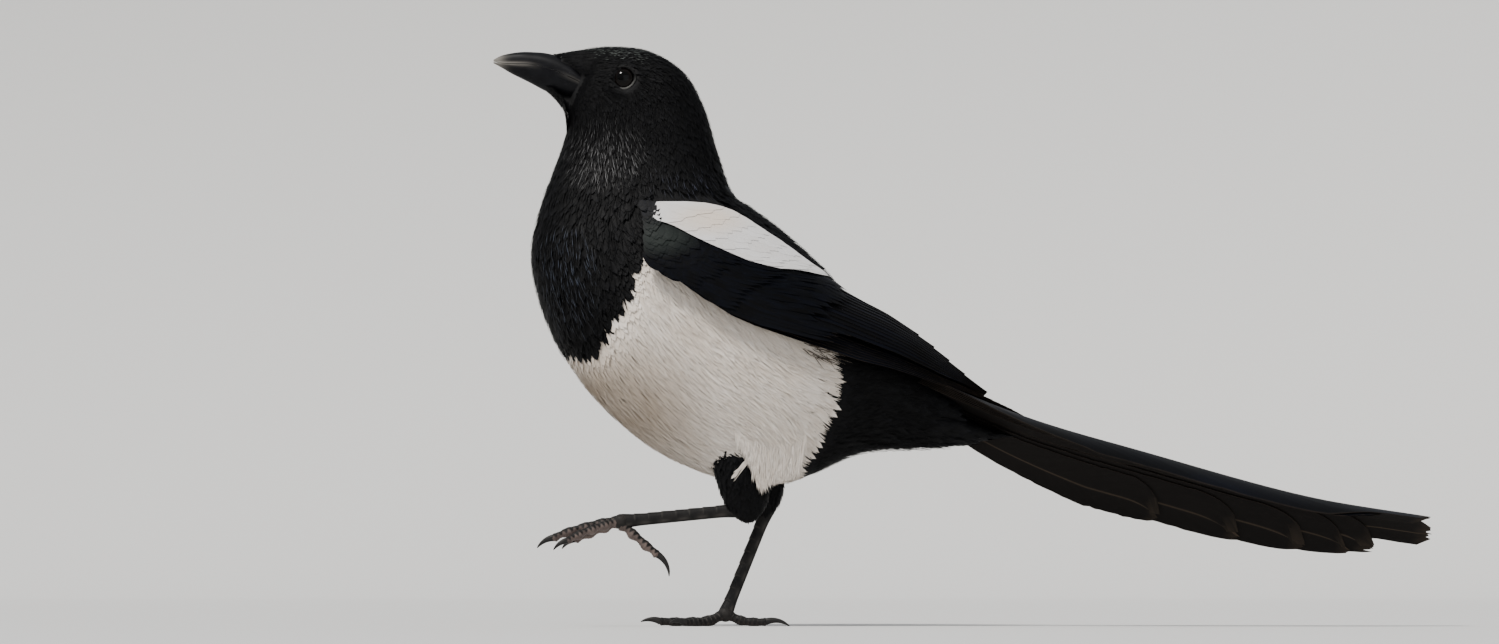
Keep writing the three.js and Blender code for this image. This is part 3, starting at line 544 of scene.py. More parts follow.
def vane_width(t, round_from=0.8, root=0.75):
    """Half width of a flight feather: it widens over its first quarter and is round at its end."""
    end = np.clip((t - round_from) / (1 - round_from), 0, None)
    return np.sqrt(1 - 0.97 * end**2) * lerp(root, 1, np.minimum(1, t / 0.25))


def lay(surface, s, a, length, width, low, high, yaw=0.0, shift=None, t=COAT_T, u=COAT_U, shape=rounded,
        camber=0.12, curl=0.0, lift=1.0):
    """Feathers that lie on a surface, from roots at (s, a) along growing s, turned by yaw.

    Steps in millimetres along and across a feather become steps of s and a through the inverse of the
    surface's metric at the root. The height goes from low to high with t to the power of lift, less
    camber times the width at both edges.
    """
    low = low + 0 * s
    along_s, along_a, normal = tangents(surface, s, a, low)
    ahead = unit(along_s)
    turn = np.asarray(yaw + 0 * s)[:, None]
    way = np.cos(turn) * ahead + np.sin(turn) * np.cross(normal, ahead)
    across = np.cross(normal, way)
    ee = np.sum(along_s**2, axis=-1)
    ff = np.sum(along_s * along_a, axis=-1)
    gg = np.sum(along_a**2, axis=-1)
    area = ee * gg - ff**2

    def steps(v):
        vs, va = np.sum(v * along_s, axis=-1), np.sum(v * along_a, axis=-1)
        return ((gg * vs - ff * va) / area)[:, None, None], ((ee * va - ff * vs) / area)[:, None, None]

    way_s, way_a = steps(way)
    across_s, across_a = steps(across)
    t, u = t[None, :, None], u[None, None, :]
    length, width = np.asarray(length)[:, None, None], np.asarray(width)[:, None, None]
    x = length * t * (1 - 0.1 * u**2)
    y = 0.5 * width * shape(t) * u + np.asarray(curl + 0 * s)[:, None, None] * length * t**2
    if shift is not None:
        x = x + shift[0][:, None, None]
        y = y + shift[1][:, None, None]
    low, high = low[:, None, None], np.asarray(high + 0 * s)[:, None, None]
    out = low + (high - low) * t**lift - camber * width * shape(t) * u**2
    root_s, root_a = s[:, None, None], a[:, None, None]
    return surface(root_s + x * way_s + y * across_s, root_a + x * way_a + y * across_a, out)


def lens_faces(rows, columns):
    """Quads and triangles of one closed feather: a grid, its two edges joined beneath, and both ends."""
    index = np.arange(rows * columns).reshape(rows, columns)
    over = np.stack([index[:-1, :-1], index[1:, :-1], index[1:, 1:], index[:-1, 1:]], -1).reshape(-1, 4)
    under = np.stack([index[:-1, 0], index[:-1, -1], index[1:, -1], index[1:, 0]], -1)
    first = [[index[0, 0], index[0, k], index[0, k + 1]] for k in range(1, columns - 1)]
    last = [[index[-1, 0], index[-1, k + 1], index[-1, k]] for k in range(1, columns - 1)]
    return np.concatenate([over, under]), np.array(first + last)


def plate_faces(rows, columns):
    """Quads of one closed plate between an upper grid and a lower one of the same size."""
    index = np.arange(rows * columns).reshape(rows, columns)
    over = np.stack([index[:-1, :-1], index[1:, :-1], index[1:, 1:], index[:-1, 1:]], -1).reshape(-1, 4)
    under = over[:, ::-1] + rows * columns
    rim = np.concatenate([index[:, 0], index[-1, 1:], index[-2::-1, -1], index[0, -2:0:-1]])
    ahead = np.roll(rim, -1)
    edge = np.stack([ahead, rim, rim + rows * columns, ahead + rows * columns], -1)
    return np.concatenate([over, under, edge]), NO_TRIANGLES


def loft_faces(rows, sides):
    """Quads round a closed tube of rings, and triangles to the two end points that follow the rings."""
    ring = np.arange(sides)
    base = np.arange(rows - 1)[:, None] * sides
    ahead = (ring + 1) % sides
    quads = np.stack([base + ring, base + sides + ring, base + sides + ahead, base + ahead], -1)
    first, last = rows * sides, rows * sides + 1
    start = np.stack([np.full(sides, first), ring, ahead], -1)
    end = np.stack([np.full(sides, last), (rows - 1) * sides + ahead, (rows - 1) * sides + ring], -1)
    return quads.reshape(-1, 4), np.concatenate([start, end])


def batch(points, faces, uv, bake, **values):
    """Many like bodies as one set of arrays: points of each body, its faces, its maps and its values."""
    count, each = points.shape[0], points.shape[1]
    offset = (np.arange(count) * each)[:, None, None]
    quads = (faces[0][None] + offset).reshape(-1, 4)
    tris = (faces[1][None] + offset).reshape(-1, 3)
    flat = {key: np.broadcast_to(value, (count, each)).reshape(-1) for key, value in values.items()}
    maps = [np.broadcast_to(m, (count, each, 2)).reshape(-1, 2) for m in (uv, bake)]
    whole = {"points": points.reshape(-1, 3), "quads": quads, "tris": tris, "uv": maps[0], "bake": maps[1]}
    return {**whole, **flat}


def merged(batches):
    """Several batches as one."""
    offset = np.cumsum([0] + [len(b["points"]) for b in batches])
    whole = {}
    for key in batches[0]:
        moved = [b[key] + (offset[i] if key in ("quads", "tris") else 0) for i, b in enumerate(batches)]
        whole[key] = np.concatenate(moved)
    return whole


def soft_batch(points, t, u, place, rng, **values):
    """A batch of small closed feathers whose grids are given, with a patch of the bake map at each root."""
    count = len(points)
    grid_t, grid_u = np.meshgrid(t, u, indexing="ij")
    vane = np.stack([grid_u.ravel() / 2 + 0.5, grid_t.ravel()], -1)[None]
    patch = (vane - 0.5) * 2 * BAKE_PATCH
    bake = np.clip(place, 0.002, 0.998)[:, None, :] + patch
    values = {key: np.asarray(value)[:, None] for key, value in values.items()}
    values.setdefault("tone", rng.random(count)[:, None])
    faces = lens_faces(len(t), len(u))
    return batch(points.reshape(count, -1, 3), faces, vane, bake, under=np.zeros((1, 1)), **values)


def solid_batch(surface, first, second, height, thick, t, u, cell, rng, **values):
    """A batch of stiff closed feathers: an upper and a lower sheet over grids of the surface's parameters."""
    count = len(first)
    over = surface(first, second, height + thick / 2)
    under = surface(first, second, height - thick / 2)
    points = np.concatenate([over.reshape(count, -1, 3), under.reshape(count, -1, 3)], axis=1)
    grid_t, grid_u = np.meshgrid(t, u, indexing="ij")
    sheet = np.stack([grid_u.ravel() / 2 + 0.5, grid_t.ravel()], -1)
    vane = np.concatenate([sheet, sheet])[None]
    columns, rows = cell
    number = np.arange(count)
    corner = np.stack([number % columns, number // columns], -1)[:, None, :]
    half = np.concatenate([sheet * [0.45, 0.9], sheet * [0.45, 0.9] + [0.5, 0.0]])[None] + 0.03
    bake = (corner + half) / [columns, rows]
    values = {key: np.asarray(value)[:, None] for key, value in values.items()}
    values.setdefault("tone", rng.random(count)[:, None])
    below = np.concatenate([np.zeros(len(sheet)), np.ones(len(sheet))])[None]
    return batch(points, plate_faces(len(t), len(u)), vane, bake, under=below, **values)


def ring_batch(grid, ends=None, **values):
    """One closed tube from a grid of rings, with an end point at each end; values are grids or numbers."""
    rows, sides = grid.shape[:2]
    ends = [grid[0].mean(axis=0), grid[-1].mean(axis=0)] if ends is None else ends
    points = np.concatenate([grid.reshape(-1, 3), np.asarray(ends)])[None]
    v, u = np.meshgrid(np.linspace(0, 1, rows), np.linspace(0, 1, sides), indexing="ij")
    uv = np.concatenate([np.stack([u, v], -1).reshape(-1, 2), [[0.5, 0.0], [0.5, 1.0]]])[None]
    flat = {}
    for key, value in values.items():
        full = np.broadcast_to(value, (rows, sides))
        flat[key] = np.concatenate([full.ravel(), [full[0].mean(), full[-1].mean()]])[None]
    return batch(points, loft_faces(rows, sides), uv, uv, **flat)


def make_piece(name, data, material, slot, replaces=(), mirror=1.0, bake=True, sharp=50.0):
    """A mesh object from a batch in millimetres, which rides on the body and takes the material it is given.
    """
    points = data["points"] * np.array([1.0, mirror, 1.0]) * MM
    quads, tris = data["quads"], data["tris"]
    halves = np.concatenate([quads[:, :3], quads[:, [0, 2, 3]], tris])
    a, b, c = (points[halves[:, k]] for k in range(3))
    if np.sum(a * np.cross(b, c)) < 0:
        quads, tris = quads[:, ::-1], tris[:, ::-1]
    corners = np.concatenate([quads.ravel(), tris.ravel()]).astype(np.int32)
    totals = np.concatenate([np.full(len(quads), 4), np.full(len(tris), 3)]).astype(np.int32)
    mesh = bpy.data.meshes.new(name)
    mesh.vertices.add(len(points))
    mesh.vertices.foreach_set("co", points.astype(np.float32).ravel())
    mesh.loops.add(len(corners))
    mesh.loops.foreach_set("vertex_index", corners)
    mesh.polygons.add(len(totals))
    mesh.polygons.foreach_set("loop_start", np.concatenate([[0], np.cumsum(totals)[:-1]]).astype(np.int32))
    mesh.polygons.foreach_set("loop_total", totals)
    mesh.update(calc_edges=True)
    maps = {"Vane": data["uv"], "OFBake": data["bake"]} if bake else {"Vane": data["uv"]}
    for key, uv in maps.items():
        layer = mesh.uv_layers.new(name=key)
        layer.data.foreach_set("uv", uv[corners].astype(np.float32).ravel())
    for key, value in data.items():
        if key not in ("points", "quads", "tris", "uv", "bake"):
            mesh.attributes.new(key, "FLOAT", "POINT").data.foreach_set("value", value.astype(np.float32))
    mesh.shade_smooth()
    mesh.set_sharp_from_angle(angle=math.radians(sharp))
    mesh.materials.append(material)
    piece = bpy.data.objects.new(name, mesh)
    bpy.context.scene.collection.objects.link(piece)
    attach(piece, BODY_OF_ALL)
    if replaces:
        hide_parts(*replaces)
    return piece


class Graph:
    """A material whose nodes are added and joined by short calls."""

    def __init__(self, name, **sockets):
        self.material = bpy.data.materials.new(name)
        self.material.use_nodes = True
        self.tree = self.material.node_tree
        self.shader = self.tree.nodes["Principled BSDF"]
        self.shade(**sockets)

    def give(self, socket, value):
        """Joins a socket to another node's output, or sets its own value."""
        if isinstance(value, bpy.types.NodeSocket):
            self.tree.links.new(value, socket)
        elif socket.type == "RGBA" and not isinstance(value, (int, float)):
            socket.default_value = (*value, 1.0)
        else:
            socket.default_value = value

    def add(self, kind, inputs=None, **settings):
        """A shader node with its settings, and its inputs by name or number."""
        node = self.tree.nodes.new("ShaderNode" + kind)
        for key, value in settings.items():
            setattr(node, key, value)
        for key, value in (inputs or {}).items():
            self.give(node.inputs[key], value)
        return node

    def shade(self, **sockets):
        """Joins or sets sockets of the shader."""
        for key, value in sockets.items():
            self.give(self.shader.inputs[key.replace("_", " ")], value)

    def value(self, name):
        """One of the mesh's own point attributes."""
        return self.add("Attribute", attribute_name=name).outputs["Fac"]

    def vane(self):
        """The two coordinates of the Vane map: across a feather and along it."""
        parts = self.add("SeparateXYZ", {0: self.add("UVMap", uv_map="Vane").outputs[0]})
        return parts.outputs[0], parts.outputs[1]

    def place(self):
        """Object coordinates, in metres."""
        return self.add("TexCoord").outputs["Object"]

    def math(self, operation, a, b=0.0, clamp=False):
        """One arithmetic step."""
        return self.add("Math", {0: a, 1: b}, operation=operation, use_clamp=clamp).outputs[0]

    def remap(self, value, low, high, to_low=0.0, to_high=1.0):
        """A value carried from one range to another and kept within it."""
        inputs = {0: value, 1: low, 2: high, 3: to_low, 4: to_high}
        return self.add("MapRange", inputs).outputs[0]

    def mix(self, factor, a, b):
        """A colour a share of the way from a to b."""
        return self.add("Mix", {0: factor, 6: a, 7: b}, data_type="RGBA").outputs[2]

    def noise(self, vector, scale, detail=3.0, rough=0.5):
        """Fractal noise from 0 to 1."""
        inputs = {"Vector": vector, "Scale": scale, "Detail": detail, "Roughness": rough}
        return self.add("TexNoise", inputs).outputs[0]

    def vector(self, x, y, z):
        """A vector from three values."""
        return self.add("CombineXYZ", {0: x, 1: y, 2: z}).outputs[0]

    def near(self, x, z, across, high):
        """1 round a place of the side view, falling to 0 at a distance along it and up from it, in metres."""
        inputs = {0: self.place(), 1: (-x / across, 0.0, -z / high), 3: (1 / across, 0.0, 1 / high)}
        spot = self.add("Mapping", inputs).outputs[0]
        length = self.add("VectorMath", {0: spot}, operation="LENGTH").outputs["Value"]
        return self.remap(length, 0.3, 1.0, 1.0, 0.0)

    def bump(self, height, strength, distance):
        """The shading normal tilted by a height in metres."""
        inputs = {"Height": height, "Strength": strength, "Distance": distance}
        self.shade(Normal=self.add("Bump", inputs).outputs[0])

    def barbs(self, slant, fine, seed):
        """Streaks that run from a feather's shaft out towards its tip, other ones on each feather."""
        across, along = self.vane()
        side = self.math("ABSOLUTE", self.math("SUBTRACT", across, 0.5))
        line = self.math("SUBTRACT", along, self.math("MULTIPLY", side, slant))
        spot = self.vector(self.math("MULTIPLY", line, fine), self.math("MULTIPLY", across, 1.5),
                           self.math("MULTIPLY", seed, 37.0))
        return self.noise(spot, 1.0, 2.0, 0.6)


class MagpieSizes(bpy.types.PropertyGroup):
    """Sizes of the plumage."""

    length: FloatProperty(name="Feather length", description="Length of the body feathers, as a share",
                          default=1.0, min=0.5, max=1.5)
    spacing: FloatProperty(name="Feather spacing", description="Distance of their roots, as a share",
                           default=1.0, min=0.6, max=3.0)
    yaw: FloatProperty(name="Disorder", description="How far feathers turn from the lie of the coat",
                       default=0.14, min=0.0, max=0.6, subtype="ANGLE")
    barb: FloatProperty(name="Barb relief", description="Height of the barbs on a feather",
                        default=0.00012, min=0.0, max=0.001, subtype="DISTANCE", unit="LENGTH")
    thick: FloatProperty(name="Flight feather thickness", description="Thickness of a stiff vane",
                         default=0.0003, min=0.0001, max=0.001, subtype="DISTANCE", unit="LENGTH")


def colour_property(name, description, default):
    """A colour that a user may change."""
    return FloatVectorProperty(name=name, description=description, default=default, size=3, min=0.0, max=1.0,
                               subtype="COLOR")


class MagpieColours(bpy.types.PropertyGroup):
    """Colours of the plumage and the bare parts."""

    black: colour_property("Black", "Head, breast and back", (0.0009, 0.0009, 0.0011))
    # Glint: a painted highlight, lighter tips on the black feathers.
    glint: colour_property("Glint", "Tips of the black feathers in the light", (0.0065, 0.0072, 0.0098))
    white: colour_property("White", "Belly and shoulder feathers", (0.80, 0.735, 0.665))
    cream: colour_property("Cream", "Warmer parts of the white", (0.68, 0.595, 0.505))
    # Brown: mixed into the white low on the belly's front, which turns darker and browner there.
    brown: colour_property("Brown", "Stained feathers low on the belly's front", (0.36, 0.28, 0.205))
    navy: colour_property("Navy", "Gloss of the wings and the tail", (0.0016, 0.0022, 0.0048))
    green: colour_property("Green", "Sheen of the wing's shoulder", (0.0130, 0.0165, 0.0152))
    # Charcoal: the flight feathers' own duller underside, made lighter than the top partly as painted light.
    charcoal: colour_property("Charcoal", "Underside of the flight feathers", (0.0105, 0.0092, 0.0086))
    buff: colour_property("Buff", "Worn edges of the flight feathers", (0.075, 0.056, 0.040))
    horn: colour_property("Horn", "Bill and claws", (0.0030, 0.0031, 0.0040))
    pale: colour_property("Pale horn", "Tip and cutting edges of the bill", (0.30, 0.28, 0.25))
    iris: colour_property("Iris", "Ring round the pupil", (0.0022, 0.0014, 0.0011))
    leg: colour_property("Leg", "Plates of the legs and toes", (0.0050, 0.0048, 0.0050))
    pad: colour_property("Pad", "Soles of the lifted foot", (0.165, 0.125, 0.110))


def plumage_material(name, dark, light, tips, rough, sheen, level, tint_patch=None, slant=0.5, fine=26.0):
    """Soft feathers: barbs, one tone for each feather, cloudy patches, a colour at the tips and a tint patch.

    A tint patch is a colour and its place: x and z on the side view, and its reach along and up, in metres.
    """
    sizes = bpy.context.scene.magpie_sizes
    graph = Graph(name, Sheen_Weight=sheen, Sheen_Roughness=0.5, Specular_IOR_Level=level)
    tone = graph.value("tone")
    _, along = graph.vane()
    barbs = graph.barbs(slant, fine, tone)
    clouds = graph.noise(graph.place(), 45.0, 3.0)
    blend = graph.math("ADD", graph.math("MULTIPLY", tone, 0.45), graph.math("MULTIPLY", barbs, 0.55))
    patch = graph.remap(graph.math("ADD", blend, graph.math("SUBTRACT", clouds, 0.5)), 0.25, 0.8)
    base = graph.mix(patch, dark, light)
    end = graph.math("MULTIPLY", graph.remap(along, 0.55, 1.0), graph.remap(barbs, 0.45, 0.75))
    # Feathers turn to the tips' colour at their ends; on the black feathers this is the glint, a painted
    # highlight.
    colour = graph.mix(end, base, tips)
    if tint_patch:
        amount = graph.math("MULTIPLY", graph.near(*tint_patch[1:]), graph.remap(clouds, 0.3, 0.6, 0.55, 0.95))
        colour = graph.mix(amount, colour, tint_patch[0])
    graph.shade(Base_Color=colour, Roughness=graph.remap(barbs, 0.3, 0.7, rough, rough + 0.15))
    graph.bump(barbs, 0.8, sizes.barb)
    return graph.material


def flight_material(name, base, gloss, rough, metal, sheen=None):
    """Stiff feathers: navy sheen that shifts in long bands, dull charcoal beneath, and buff worn edges; the
    charcoal beneath is the feathers' own duller underside, made lighter as painted light.

    A sheen is a colour and its place: x and z on the side view, and its reach along and up, in metres.
    """
    sizes, colours = bpy.context.scene.magpie_sizes, bpy.context.scene.magpie_colours
    graph = Graph(name, Specular_IOR_Level=0.07)
    tone, under, worn = graph.value("tone"), graph.value("under"), graph.value("worn")
    across, along = graph.vane()
    barbs = graph.barbs(0.35, 38.0, tone)
    bands = graph.noise(graph.vector(graph.math("MULTIPLY", across, 1.4), graph.math("MULTIPLY", along, 5.0),
                                     graph.math("MULTIPLY", tone, 11.0)), 1.0, 2.0)
    shine = graph.mix(graph.remap(bands, 0.35, 0.65), base, gloss)
    fleck = graph.mix(graph.remap(barbs, 0.35, 0.75, 0.0, 0.35), shine, colours.black)
    shaft = graph.math("ABSOLUTE", graph.math("SUBTRACT", across, 0.5 + SHAFT / 2))
    # Charcoal underside: the feathers' duller colour, made lighter as painted light where the underside lies
    # in shade.
    dull = graph.mix(graph.remap(shaft, 0.0, 0.03, 0.6, 0.0), colours.charcoal, colours.buff)
    if sheen:
        fleck = graph.mix(graph.near(*sheen[1:]), fleck, sheen[0])
    both = graph.mix(under, fleck, dull)
    side = graph.math("ABSOLUTE", graph.math("SUBTRACT", across, 0.5))
    rim = graph.math("MAXIMUM", graph.remap(side, 0.475, 0.5, 0.0, 0.5), graph.remap(along, 0.97, 1.0))
    edge = graph.math("MULTIPLY", graph.math("MULTIPLY", rim, worn), graph.remap(barbs, 0.3, 0.6, 0.4, 1.0))
    graph.shade(Base_Color=graph.mix(edge, both, colours.buff),
                Metallic=graph.remap(under, 0.0, 1.0, metal, 0.0),
                Roughness=graph.math("ADD", graph.remap(barbs, 0.3, 0.7, rough, rough + 0.12),
                                     graph.math("MULTIPLY", under, 0.25)))
    graph.bump(barbs, 0.35, sizes.barb)
    return graph.material


def horn_material(name, rough):
    """Horn: near-black slate with fine grain along it, and pale parts where the mesh says so."""
    colours = bpy.context.scene.magpie_colours
    graph = Graph(name, Specular_IOR_Level=0.1)
    spot = graph.add("Mapping", {0: graph.place(), 3: (120.0, 500.0, 900.0)}).outputs[0]
    grain = graph.noise(spot, 1.0, 4.0)
    clouds = graph.noise(graph.place(), 260.0, 4.0)
    dark = graph.mix(graph.remap(clouds, 0.35, 0.7), colours.horn, VARIED["horn"])
    pale = graph.math("MULTIPLY", graph.value("pale"), graph.remap(grain, 0.2, 0.55, 0.55, 1.0))
    graph.shade(Base_Color=graph.mix(pale, dark, colours.pale),
                Roughness=graph.remap(grain, 0.3, 0.7, rough, rough + 0.14))
    graph.bump(grain, 0.35, 0.0001)
    return graph.material


def leg_material(name):
    """Scaly skin: slate plates with pale joints between them, pebbled sides and pinkish soles."""
    colours = bpy.context.scene.magpie_colours
    graph = Graph(name, Specular_IOR_Level=0.14)
    cells = graph.add("TexVoronoi", {"Vector": graph.place(), "Scale": 1500.0}, feature="DISTANCE_TO_EDGE")
    pebble = graph.remap(cells.outputs[0], 0.0, 0.12)
    clouds = graph.noise(graph.place(), 300.0, 4.0)
    slate = graph.mix(graph.remap(clouds, 0.35, 0.7), colours.leg, VARIED["leg"])
    lined = graph.mix(graph.math("MULTIPLY", graph.value("joint"), 0.6), slate, VARIED["joint"])
    sole = graph.mix(graph.remap(clouds, 0.3, 0.7), colours.pad, VARIED["pad"])
    graph.shade(Base_Color=graph.mix(graph.value("sole"), lined, sole),
                Roughness=graph.remap(clouds, 0.3, 0.7, 0.42, 0.6))
    graph.bump(pebble, 0.5, 0.00012)
    return graph.material


def eye_material(name):
    """Eye: a black pupil, a dark brown iris with fine rays, and a wet clear coat."""
    colours = bpy.context.scene.magpie_colours
    graph = Graph(name, Roughness=0.05, Specular_IOR_Level=0.12)
    gaze = graph.value("gaze")
    across, _ = graph.vane()
    spot = graph.vector(graph.math("MULTIPLY", across, 60.0), graph.math("MULTIPLY", gaze, 2.0), 0.0)
    rays = graph.noise(spot, 1.0)
    iris = graph.mix(graph.remap(rays, 0.35, 0.7), colours.iris, VARIED["iris"])
    ring = graph.math("MULTIPLY", graph.remap(gaze, 27.0, 30.0), graph.remap(gaze, 48.0, 52.0, 1.0, 0.0))
    graph.shade(Base_Color=graph.mix(ring, PUPIL, iris))
    return graph.material


def lid_material(name):
    """Lid: small dark beads, greyer on the lower lid."""
    graph = Graph(name, Roughness=0.55, Specular_IOR_Level=0.12)
    beads = graph.noise(graph.place(), 1800.0, 2.0)
    grey = graph.math("MULTIPLY", graph.value("pale"), graph.remap(beads, 0.35, 0.6, 0.4, 1.0))
    graph.shade(Base_Color=graph.mix(grey, *LID_TONES))
    graph.bump(beads, 0.4, 0.0001)
    return graph.material


def plumage(kind):
    """The shared materials of the plumage, each made once."""
    name = kind.replace("plumage", "feathers")
    found = bpy.data.materials.get(name)
    if found:
        return found
    c = bpy.context.scene.magpie_colours
    if kind == "black_plumage":
        # The black feathers' tips take the glint colour, a painted highlight.
        return plumage_material(name, c.black, VARIED["black"], c.glint, 0.5, 0.0, 0.1)
    if kind == "white_plumage":
        # The belly's white turns darker and browner low on its front.
        tint_patch = (c.brown, *BROWN_PLACE)
        return plumage_material(name, c.cream, c.white, VARIED["white"], 0.75, 0.08, 0.25, tint_patch)
    if kind == "scapular_plumage":
        return plumage_material(name, *SCAPULAR_TONES, 0.7, 0.05, 0.25, (c.cream, *CREAM_PLACE))
    if kind == "tuft_plumage":
        return plumage_material(name, *TUFT_TONES, c.cream, 0.7, 0.0, 0.2)
    sheen = (c.green, *SHEEN_PLACE) if kind == "shoulder_plumage" else None
    return flight_material(name, c.black, c.navy, 0.42, 0.06, sheen)


def black_piece(name, data, **settings):
    """A piece in the black plumage's finish."""
    make_piece(name, data, plumage("black_plumage"), "black_plumage", **settings)


def trunk_place(s, a):
    """A root's place on the trunk's bake map."""
    return np.stack([s / (TRUNK_END + 1), (a + np.pi) / (2 * np.pi)], -1)


def coat_table(s):
    """Spacing, feather length, feather width and coat depth at a section."""
    return table_at(COAT, s)


def white_at(point, wander=0.0):
    """True where the trunk's plumage is white."""
    x, z = point[..., 0], point[..., 2]
    return inside_outline(x + wander, z + wander, BELLY) & (x > -172.0)


def covered(point):
    """True under the front of the white shoulder feathers."""
    x, y, z = point[..., 0], np.abs(point[..., 1]), point[..., 2]
    front, rear = COVERED["x"]
    low, high = COVERED["z"]
    return (x > front) & (x < rear) & (z > low) & (z < high) & (y > COVERED["y"])


def border_distance(point):
    """Distance on the side view to the white's outline."""
    x, z = point[..., 0], point[..., 2]
    nearest = np.full(np.shape(x), np.inf)
    for (ax, az), (bx, bz) in zip(BELLY, BELLY[1:]):
        run, rise = bx - ax, bz - az
        share = np.clip(((x - ax) * run + (z - az) * rise) / (run**2 + rise**2), 0, 1)
        nearest = np.minimum(nearest, np.hypot(x - ax - share * run, z - az - share * rise))
    return nearest


def fineness(point):
    """1 far from the white's outline, 0 along it, where the feathers are small."""
    return smooth(border_distance(point), 3.0, 10.0)


def droop(point):
    """How far the white feathers turn down towards the thigh, in radians."""
    x, y, z = point[..., 0], point[..., 1], point[..., 2]
    amount = smooth(x, *DROOP["x"]) * (1 - smooth(z, *DROOP["z"])) * smooth(np.abs(y), *DROOP["y"])
    return DROOP["turn"] * np.sign(y) * amount


def region_of(s, a, white):
    """Which of the regions a root is on: 0 head, 1 neck, 2 breast, 3 back, 4 vent, 5 belly."""
    trunk = np.where(from_back(a) > BACK_REACH, np.where(s > VENT_START, 4, 2), 3)
    region = np.where(s < HEAD_END, 0, np.where(s < NECK_END, 1, trunk))
    return np.where(white, 5, region)


class MAGPIE_OT_skin(bpy.types.Operator):
    """One skin under the plumage, from the face to the tail, with the coat's markings"""

    bl_idname = "magpie.skin"
    bl_label = "Skin"

    def execute(self, context):
        """The body's surface sunk by the coat's depth, closed at the bill and under the tail."""
        rows, sides = 220, 120
        s, a = np.meshgrid(np.linspace(0.0, TRUNK_END, rows), around(sides) - np.pi, indexing="ij")
        depth = coat_table(s)[3]
        point = face(s, a, -depth)
        white = white_at(point).astype(float)
        skin = ring_batch(point, tone=0.5, under=0.0, white=white)
        graph = Graph("plumage_skin", Roughness=0.8, Specular_IOR_Level=0.2)
        colours = context.scene.magpie_colours
        down = graph.noise(graph.place(), 700.0, 4.0)
        pale = graph.mix(down, colours.cream, colours.white)
        dark = graph.mix(down, *SKIN_TONES)
        graph.shade(Base_Color=graph.mix(graph.value("white"), dark, pale))
        graph.bump(down, 0.6, 0.0004)
        nodes = ("head", "neck", "breast", "belly", "mantle", "vent")
        make_piece("skin", skin, graph.material, "black_plumage", nodes, bake=False)
        return {"FINISHED"}


REGIONS = ("head", "neck", "breast", "back", "vent", "belly")


class MAGPIE_OT_coat(bpy.types.Operator):
    """Body feathers from the face to the tail: black and white ones, small on the face"""

    bl_idname = "magpie.coat"
    bl_label = "Body plumage"

    def execute(self, context):
        """Roots on the body's surface, feathers along its sections, parted by region."""
        sizes = context.scene.magpie_sizes
        rng = np.random.default_rng(11)

        def spacing(s, a, point):
            near = eye_distance(point) < EYE_CLEAR
            step = coat_table(s)[0] * sizes.spacing * lerp(0.6, 1.0, fineness(point))
            return np.where(near & (np.abs(point[..., 1]) > 8.0), BARE, step)

        s, a = scatter(face, spacing, (0.0, TRUNK_END + 0.4), (-np.pi, np.pi))
        step, length, width, depth = coat_table(s)
        count = len(s)
        root = face(s, a, 0.0)
        silky = white_at(root)
        length = length * sizes.length * rng.uniform(0.82, 1.18, count) * np.where(silky, 1.25, 1.0)
        jitter = [rng.normal(0, 0.22, count) * step for _ in range(2)]
        yaw = rng.normal(0, sizes.yaw, count) * np.where(silky, 0.6, 1.0) + np.where(silky, droop(root), 0.0)
        tip = lay(face, s, a, length, width, 0.0, 0.0, yaw, jitter, t=COAT_T[NEAR_TIP:], u=COAT_U)[:, 0, 1]
        fine = np.minimum(fineness(root), fineness(tip))
        length = length * lerp(0.45, 1, fine)
        width = width * rng.uniform(0.85, 1.15, count) * np.where(silky, 0.7, 1.0) * lerp(0.5, 1, fine)
        high = (rng.normal(0.0, 0.14, count) * np.where(silky, 0.4, 1.0) - 0.15) * depth * lerp(0.6, 1, fine)
        high = high - np.where(covered(root) | covered(tip), COVERED["sink"], 0.0)
        low = -(depth + 0.3) * lerp(0.65, 1, fine)
        curl = rng.normal(0, 0.03, count)
        point = lay(face, s, a, length, width, low, high, yaw, jitter, curl=curl, lift=0.7)
        place = trunk_place(s, a)
        white = white_at(point[:, NEAR_TIP, 1], rng.normal(0, 0.5, count))
        region = region_of(s, a, white)
        for number, name in enumerate(REGIONS):
            chosen = region == number
            data = soft_batch(point[chosen], COAT_T, COAT_U, place[chosen], rng)
            finish = "white_plumage" if name == "belly" else "black_plumage"
            make_piece("plumage_" + name, data, plumage(finish), finish)
        return {"FINISHED"}


